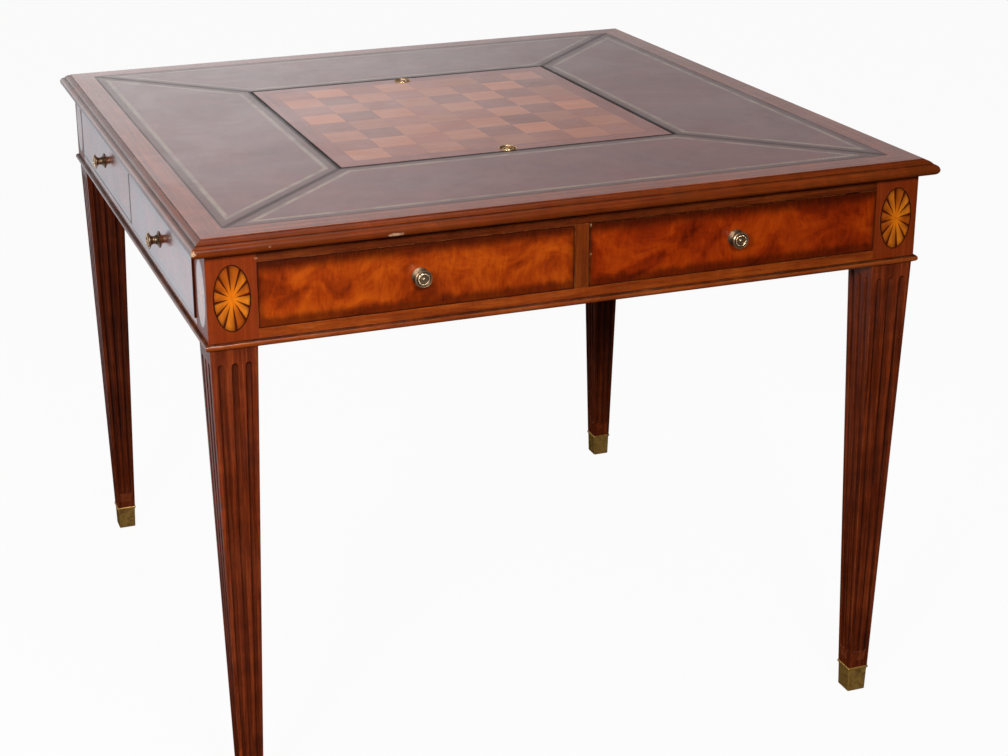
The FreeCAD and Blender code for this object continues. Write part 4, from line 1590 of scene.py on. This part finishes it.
    def post(self, draft: Draft, place: Matrix) -> None:
        """Adds the corner post; its two outer faces carry recesses, and meet in a rounded arris.

        Args:
            draft: mesh to add to.
            place: where the leg's axis goes.
        """
        self.post_face(draft, lambda a, o, h: place @ Vector((-a, -o, h)))
        self.post_face(draft, lambda a, o, h: place @ Vector((-o, -a, h)))
        inner = POST_HALF - self.arris
        ring = arc((inner, inner), self.arris, 0, 90, self.post_arris_steps)
        backs = [(-POST_HALF, POST_HALF), (-POST_HALF, -POST_HALF), (POST_HALF, -POST_HALF)]
        rows = [draft.row(place @ Vector((-x, -y, z)) for x, y in ring)
                for z in (LEG_TOP, BAY_MIDDLE, UNDERSIDE)]
        draft.loft(rows, False, lambda r, c: 1.0)
        for z in (LEG_TOP, UNDERSIDE):
            draft.face(draft.row(place @ Vector((-x, -y, z)) for x, y in ring + backs))
        for start, end in zip(backs, backs[1:]):
            corners = [(*start, LEG_TOP), (*end, LEG_TOP), (*end, UNDERSIDE), (*start, UNDERSIDE)]
            draft.face(draft.row(place @ Vector((-x, -y, z)) for x, y, z in corners))

    def build(self, finishes: Finishes) -> None:
        """Adds the four legs and finishes their inlays.

        Args:
            finishes: the materials.
        """
        for corner in Corner:
            draft = Draft()
            self.fluted_part(draft, corner.place)
            self.post(draft, corner.place)
            node = "leg_" + corner.label
            piece = Piece("fluted_" + node, node, "leg_mahogany")
            piece.add(draft.mesh(node + "_shaped"), finishes["fluted_mahogany"])
        dress(finishes["satinwood_fan"], "patera_petals")
        dress(finishes["ebony_line"], "patera_stringing")


@dataclass
class Ferrule(Assembly):
    """Square brass cup on a foot, with a rounded rim round its mouth."""

    # Height and half width, from the sole up the outside and down into the cup
    outside: tuple[Pair, ...] = (
        (0.0, 0.0124), (0.0003, 0.0129), (0.0010, 0.01318), (0.0336, 0.01400), (0.0339, 0.01440),
        (0.0342, 0.01510), (0.0350, 0.01540), (0.0362, 0.01540), (0.0370, 0.01518), (0.0374, 0.01475),
        (0.0375, 0.0142), (0.0375, 0.01275), (0.0020, 0.01190))
    rounding: float = 0.0013
    corner_steps: int = 4
    sharp: float = 50.0
    rim_rows: tuple[int, ...] = (5, 6, 7, 8)
    rim_rub: float = 0.8
    # Grime and painted shade on the neck under the rim
    neck_rows: tuple[int, ...] = (3, 4)
    neck_grime_and_shade: float = 0.8

    def ring(self, half: float) -> list[Pair]:
        """Outline of the cup.

        Args:
            half: half its width.

        Returns:
            The points, round all four corners.
        """
        inner = half - self.rounding
        points = []
        for quarter, (x, y) in enumerate(((1, 1), (-1, 1), (-1, -1), (1, -1))):
            start = 90 * quarter
            points += arc((x * inner, y * inner), self.rounding, start, start + 90, self.corner_steps)
        return points

    def rub(self, row: int, column: int) -> float:
        """Wear of the rim and the corners."""
        on_corner = column % (self.corner_steps + 1) < self.corner_steps
        return self.rim_rub if row in self.rim_rows or on_corner else 0.0

    def build(self, finishes: Finishes) -> None:
        """Adds the four ferrules.

        Args:
            finishes: the materials.
        """
        for corner in Corner:
            draft = Draft()
            rows = [draft.row(corner.place @ Vector((x, y, height)) for x, y in self.ring(half))
                    for height, half in self.outside]
            draft.loft(rows, True, self.rub, lambda r, c: self.neck_grime_and_shade if r in self.neck_rows else 0.0)
            draft.face(rows[0])
            draft.face(rows[-1])
            node = "ferrule_" + corner.label
            piece = Piece("cup_" + node, node, "brass")
            piece.add(draft.mesh(node + "_shaped", self.sharp), finishes["foot_brass"])


@dataclass
class Knob(Assembly):
    """Turned brass knob: a spool between a rose and a cap with a beaded ring and a button in its dish."""

    rose: float = 0.0106
    rose_soft: Pair = (0.0002, 0.0003)
    rose_edge: float = 0.0008
    waist: float = 0.0051
    cap: float = 0.0108
    cap_start: float = 0.0128
    cap_back: float = 0.0005
    cap_edge: float = 0.0008
    cap_middle: float = 0.0137
    cap_face: float = 0.0150
    cap_land: float = 0.0010
    length: float = 0.0160
    fullness: float = 2.6
    spool_steps: int = 24
    ring: float = 0.0066
    ring_half: float = 0.0015
    ring_rise: float = 0.0011
    ring_sink: float = 0.0004
    slope: Pair = (0.0006, 0.0003)
    dish: float = 0.0018
    dish_edge: float = 0.0006
    # Radius and height above the floor of the dish, from the ring to the middle of the button
    button: tuple[Pair, ...] = (
        (0.0046, 0.0), (0.0030, 0.0), (0.0025, 0.0004), (0.0022, 0.0011), (0.0016, 0.0016),
        (0.0008, 0.0019), (0.0, 0.0020))
    bead: tuple[Pair, ...] = ((0.0010, 0.0), (0.0009, 0.0004), (0.0005, 0.0007), (0.0, 0.0008))
    bead_sink: float = 0.0006
    beads: int = 22
    bead_sides: int = 8
    sides: int = 56
    stem_rows: int = 12
    # Grime and painted shade on the stem
    stem_grime_and_shade: float = 0.85
    hollow_height: float = 0.0143
    hollow_reach: Pair = (0.0024, 0.0094)
    ring_bare: float = 0.0013

    def spool(self) -> list[Pair]:
        """Points of the hollow stem from the edge of the rose to the back of the cap.

        Returns:
            The points as (radius, height).
        """
        points = []
        run = self.cap_start - self.rose_edge
        for index in range(self.spool_steps + 1):
            share = index / self.spool_steps
            edge = self.rose if share < 0.5 else self.cap - self.cap_back
            flare = abs(2 * share - 1) ** self.fullness
            points.append((self.waist + (edge - self.waist) * flare, self.rose_edge + run * share))
        return points

    def profile(self) -> list[Pair]:
        """Section from the rose to the button in the middle of the cap.

        Returns:
            The points as (radius, height).
        """
        face = self.cap_face
        ring_foot = face - self.ring_sink
        ring_edge = self.ring + self.ring_half
        floor = self.length - self.dish
        in_by, up_by = self.rose_soft
        points = [(0.0, 0.0), (self.rose - in_by, 0.0), (self.rose, up_by), *self.spool()]
        points += arc((self.cap - self.cap_edge, self.cap_middle), self.cap_edge, -60, 70, 7)
        points.append((self.cap - self.cap_land, face))
        points += [(ring_edge + self.slope[0], face - self.slope[1]), (ring_edge, ring_foot)]
        for x, y in arc((0.0, 0.0), 1.0, 20, 160, 7):
            points.append((self.ring + self.ring_half * x, ring_foot + self.ring_rise * y))
        points.append((self.ring - self.ring_half, face - self.dish_edge))
        return points + [(radius, floor + height) for radius, height in self.button]

    def add_to(self, draft: Draft, place: Matrix) -> None:
        """Adds one knob, its axis along the upright axis of its place.

        Args:
            draft: mesh to add to.
            place: where the knob's axis goes.
        """
        points = self.profile()
        low, high = self.hollow_reach
        hollows = {index for index, (radius, height) in enumerate(points[:-1])
                   if height > self.hollow_height and low < radius < high
                   and abs(radius - self.ring) > self.ring_bare}

        def grime(row: int, column: int) -> float:
            """Grime and painted shade round the ring and the button, and on the stem."""
            return 1.0 if row in hollows else self.stem_grime_and_shade if row < self.stem_rows else 0.0

        draft.turned(points, place, self.sides, grime)
        for x, y in arc((0.0, 0.0), self.ring, 0.0, 360.0, self.beads)[:-1]:
            spot = Matrix.Translation((x, y, self.length - self.bead_sink))
            draft.turned(self.bead, place @ spot, self.bead_sides)

    def place(self, side: Side, along: float, out: float = FACE) -> Matrix:
        """Where a knob stands on a side, its axis pointing outward."""
        upright_to_front = Matrix.Rotation(math.radians(90), 4, "X")
        return side.turn @ Matrix.Translation((along, -out, BAY_MIDDLE)) @ upright_to_front

    def build(self, finishes: Finishes) -> None:
        """Adds the knobs of the four false fronts as one piece and of each drawer as its own.

        Args:
            finishes: the materials.
        """
        brass = finishes["knob_brass"]
        fixed = Draft()
        for side in Side:
            self.add_to(fixed, self.place(side, -KNOB_PLACE))
        piece = Piece("knobs_of_false_fronts", "false_front_knobs", "brass")
        piece.add(fixed.mesh("false_front_knobs_shaped"), brass)
        for side in Side:
            draft = Draft()
            out = FACE + (AJAR if side is Side.LEFT else 0.0)
            self.add_to(draft, self.place(side, KNOB_PLACE, out))
            body = "drawer_" + side.label
            piece = Piece("knob_of_" + body, body + "_knob", "brass", body)
            piece.add(draft.mesh(body + "_knob_shaped"), brass)


@dataclass
class Apron(Assembly):
    """Rails, stiles, false fronts and drawers, with the framing behind them."""

    arris: float = 0.0003

    def soften(self, node: str, slot: str, material: bpy.types.Material, body: str = "table") -> None:
        """Adds a node with softened arrises."""
        Piece("soft_" + node, node, slot, body).add(softened(node, self.arris), material)

    def build(self, finishes: Finishes) -> None:
        """Softens what shows and finishes what lies behind.

        Args:
            finishes: the materials.
        """
        self.soften("upper_rails", "mahogany", finishes["upper_rail_mahogany"])
        self.soften("lower_rails", "mahogany", finishes["rail_mahogany"])
        self.soften("drawer_stiles", "mahogany", finishes["stile_mahogany"])
        self.soften("false_fronts", "flame_mahogany", finishes["flame_veneer"])
        for side in Side:
            body = "drawer_" + side.label
            self.soften(body + "_front", "flame_mahogany", finishes["flame_veneer"], body)
            dress(finishes["waxed_oak"], body + "_sides", body + "_back", body + "_bottom")
        dress(finishes["bare_pine"], "corner_blocks", "drawer_partitions", "drawer_runners")
        dress(finishes["bare_pine"], "top_ground_boards")


@dataclass
class Board(Assembly):
    """Lift-out chess board with its pulls, and the backgammon well below it."""

    pull_place: float = 0.219
    plate: float = 0.0125
    plate_depth: float = 0.0060
    rim: float = 0.0008
    rim_foot: float = 0.0002
    dish: float = 0.0108
    dish_depth: float = 0.0042
    boss: float = 0.0046
    boss_rise: float = 0.0010
    boss_foot: float = 0.0004
    sides: int = 48
    dish_rows: tuple[int, ...] = (12, 13, 14, 15)
    # Grime and painted shade in the dish round the boss
    dish_grime_and_shade: float = 0.7

    def pull_plates(self, finishes: Finishes) -> None:
        """Adds the two round plates, each with a rolled rim, a dish and a domed boss.

        Args:
            finishes: the materials.
        """
        section = [(0.0, -self.plate_depth), (self.plate, -self.plate_depth), (self.plate, 0.0)]
        section += arc((self.plate - self.rim, 0.0), self.rim, 20, 160, 8)
        section += [(self.dish, -self.rim_foot), (self.dish, -self.dish_depth)]
        section += [(self.boss, -self.dish_depth), (self.boss, -self.boss_foot)]
        section += [(self.boss * x, self.boss_rise * y) for x, y in arc((0.0, 0.0), 1.0, 0, 90, 9)]
        draft = Draft()
        for side in (Side.FRONT, Side.BACK):
            place = side.turn @ Matrix.Translation((0.0, -self.pull_place, TOP))
            draft.turned(section, place, self.sides,
                         lambda r, c: self.dish_grime_and_shade if r in self.dish_rows else 0.0)
        piece = Piece("plates_of_pulls", "pull_plates", "brass", "board")
        piece.add(draft.mesh("pull_plates_shaped"), finishes["pull_brass"])

    def build(self, finishes: Finishes) -> None:
        """Finishes the squares, band, core, pulls, well and leather.

        Args:
            finishes: the materials.
        """
        dress(finishes["light_veneer"], "board_light_squares")
        dress(finishes["dark_veneer"], "board_dark_squares")
        dress(finishes["board_band"], "board_crossbanding")
        dress(finishes["inside_mahogany"], "board_core", "well_walls", "well_bar")
        self.pull_plates(finishes)
        dress(finishes["pull_brass"], "pull_ring_front", "pull_ring_back")
        dress(finishes["green_leather"], "well_floor")
        dress(finishes["buff_leather"], "backgammon_points_light")
        dress(finishes["red_leather"], "backgammon_points_dark")
        dress(finishes["top_leather"], *("leather_panel_" + side.label for side in Side))


@dataclass(frozen=True)
class Lamp:
    """A soft square lamp: place, point it faces and width in metres, power in watts, beam in degrees."""

    name: str
    place: Triple
    aim: Triple
    size: float
    power: float
    spread: float = 180.0

    def hang(self) -> None:
        """Adds the lamp to the scene."""
        light = bpy.data.lights.new(self.name, "AREA")
        light.size = self.size
        light.energy = self.power
        light.spread = math.radians(self.spread)
        lamp = bpy.data.objects.new(self.name, light)
        bpy.context.scene.collection.objects.link(lamp)
        lamp.location = self.place
        lamp.rotation_euler = (Vector(self.aim) - Vector(self.place)).to_track_quat("-Z", "Y").to_euler()


@dataclass
class Studio:
    """Pale floor, white surroundings, three soft lamps, and the camera."""

    lamps: tuple[Lamp, ...] = (
        Lamp("key", (-0.28, -2.90, 2.05), (-0.60, -0.46, 0.72), 0.5, 13.5, 90.0),
        Lamp("side", (-1.83, -2.40, 1.75), (-0.20, -0.30, 0.60), 0.6, 50.0),
        Lamp("over", (-0.1, 0.35, 2.7), (0.0, 0.1, 0.77), 1.6, 20.0),
    )
    fill: float = 0.12
    white: Colour = (1.0, 1.0, 1.0)
    floor_half: float = 12.0
    floor_height: float = -0.0003
    floor_pale: Colour = (0.9, 0.9, 0.9)
    floor_bounce: Colour = (0.22, 0.22, 0.22)
    floor_white: float = 0.95
    floor_tint: Colour = (0.91, 0.95, 1.02)
    # White sweep on the floor in reflections, by distance in metres
    sweep_behind: Pair = (1.8, 2.4)
    sweep_left: Pair = (-0.85, -0.60)
    sweep_front: Pair = (-0.6, 0.4)
    sweep_fall: tuple[float, ...] = (1.5, 2.7, 1.10, 0.75)
    # White of the surroundings in reflections, by turn from straight behind and by height
    sky_tint: Colour = (0.985, 0.98, 0.99)
    sky_bright: tuple[float, ...] = (0.20, 0.46, 1.12, 0.50)
    sky_behind: Pair = (1.2, 2.0)
    sky_low: tuple[float, ...] = (0.10, 0.46, 1.2, 0.03)
    near_turn: Triple = (-2.0, -1.7, 0.9)
    near_foot: Pair = (0.05, 0.15)
    near_head: Pair = (0.60, 0.80)
    frame_size: tuple[int, int] = (1008, 756)
    sensor: float = 36.0
    focal: float = 1879.777
    centre: Pair = (386.305, 278.724)
    azimuth: float = -17.583
    elevation: float = 18.518
    roll: float = -1.173
    eye: Triple = (-0.878899, -2.452880, 1.394385)

    def floor_material(self) -> bpy.types.Material:
        """White to the eye with a soft shadow, and a white sweep behind and to the left in reflections.

        Returns:
            The floor's material.
        """
        material = bpy.data.materials.new("studio_floor")
        material.use_nodes = True
        material.node_tree.nodes.clear()
        w = Wiring(material.node_tree)
        path = w.node("ShaderNodeLightPath").outputs
        place = w.node("ShaderNodeTexCoord").outputs["Object"]
        x, y, _ = w.parts(place)
        tone = w.raised(0.90, w.noise(place, 1.5), 0.02)
        bounce = w.mix(path["Is Diffuse Ray"], self.floor_pale, self.floor_bounce)
        matt = w.node("ShaderNodeBsdfDiffuse", {"Color": w.mix(1.0, bounce, tone, "MULTIPLY")})
        sweep = w.most(w.step(y, *self.sweep_behind), w.fade(x, *self.sweep_left))
        sweep = w.product(sweep, w.step(y, *self.sweep_front), w.step(y, *self.sweep_fall))
        glow = w.most(path["Is Camera Ray"], w.product(path["Is Glossy Ray"], sweep))
        tint = w.mix(path["Is Glossy Ray"], self.white, self.floor_tint)
        lit = w.node("ShaderNodeEmission", {"Color": tint, "Strength": glow})
        share = w.most(w.product(path["Is Camera Ray"], self.floor_white), path["Is Glossy Ray"])
        mixed = w.node("ShaderNodeMixShader", {0: share, 1: matt.outputs[0], 2: lit.outputs[0]})
        w.node("ShaderNodeOutputMaterial", {"Surface": mixed.outputs[0]})
        return material

    def floor(self) -> None:
        """Adds the floor, just below the feet."""
        half = self.floor_half
        corners = ((-half, -half), (half, -half), (half, half), (-half, half))
        draft = Draft()
        draft.face(draft.row(Vector((x, y, self.floor_height)) for x, y in corners))
        mesh = draft.mesh("studio_floor")
        mesh.materials.append(self.floor_material())
        made = bpy.data.objects.new("studio_floor", mesh)
        bpy.context.scene.collection.objects.link(made)

    def world(self) -> None:
        """Sets the surroundings: white to the eye, white behind in reflections, even fill elsewhere."""
        world = bpy.data.worlds.new("studio")
        bpy.context.scene.world = world
        world.use_nodes = True
        world.node_tree.nodes.clear()
        w = Wiring(world.node_tree)
        path = w.node("ShaderNodeLightPath").outputs
        x, y, z = w.parts(w.node("ShaderNodeTexCoord").outputs["Generated"])
        turn = w.math("ARCTAN2", x, y)
        behind = w.fade(w.size(turn), *self.sky_behind)
        far = w.product(w.step(turn, *self.sky_bright), behind, w.step(z, *self.sky_low))
        near_band = w.product(w.step(z, *self.near_foot), w.fade(z, *self.near_head))
        near = w.product(w.fade(turn, *self.near_turn), near_band)
        reflected = w.most(far, near)
        seen = w.most(path["Is Camera Ray"], path["Is Transmission Ray"])
        mirror = w.product(path["Is Glossy Ray"], reflected)
        rest = w.rest(w.most(seen, path["Is Glossy Ray"]))
        level = w.total(seen, mirror, w.product(rest, self.fill))
        tint = w.mix(path["Is Glossy Ray"], self.white, self.sky_tint)
        shader = w.node("ShaderNodeBackground", {"Color": tint, "Strength": level})
        w.node("ShaderNodeOutputWorld", {"Surface": shader.outputs[0]})

    def camera(self) -> None:
        """Adds the camera at the photograph's place, angle and framing."""
        wide, high = self.frame_size
        azimuth, elevation = math.radians(self.azimuth), math.radians(self.elevation)
        level = math.cos(elevation)
        back = Vector((math.sin(azimuth) * level, -math.cos(azimuth) * level, math.sin(elevation)))
        right = (-back).cross(Vector((0.0, 0.0, 1.0))).normalized()
        up = right.cross(-back)
        c, s = math.cos(math.radians(self.roll)), math.sin(math.radians(self.roll))
        right, up = c * right + s * up, c * up - s * right
        data = bpy.data.cameras.new("camera")
        data.sensor_width = self.sensor
        data.lens = self.focal / wide * self.sensor
        data.shift_x = (wide / 2 - self.centre[0]) / wide
        data.shift_y = (self.centre[1] - high / 2) / wide
        data.clip_end = 100.0
        camera = bpy.data.objects.new("camera", data)
        bpy.context.scene.collection.objects.link(camera)
        camera.matrix_world = Matrix.Translation(self.eye) @ Matrix((right, up, back)).transposed().to_4x4()
        bpy.context.scene.camera = camera

    def build(self) -> None:
        """Sets up the whole studio."""
        bpy.context.scene.view_settings.view_transform = "Standard"
        self.floor()
        self.world()
        for lamp in self.lamps:
            lamp.hang()
        self.camera()


def main() -> None:
    """Builds the table and the studio."""
    logging.basicConfig(level=logging.INFO, format="%(name)s %(message)s")
    finishes = Finishes(Effects())
    parts: tuple[Assembly, ...] = (TopBorder(), BeadMoulding(), Leg(), Ferrule(), Apron(), Knob(), Board())
    for part in parts:
        part.build(finishes)
    Studio().build()


if __name__ == "__main__":
    main()
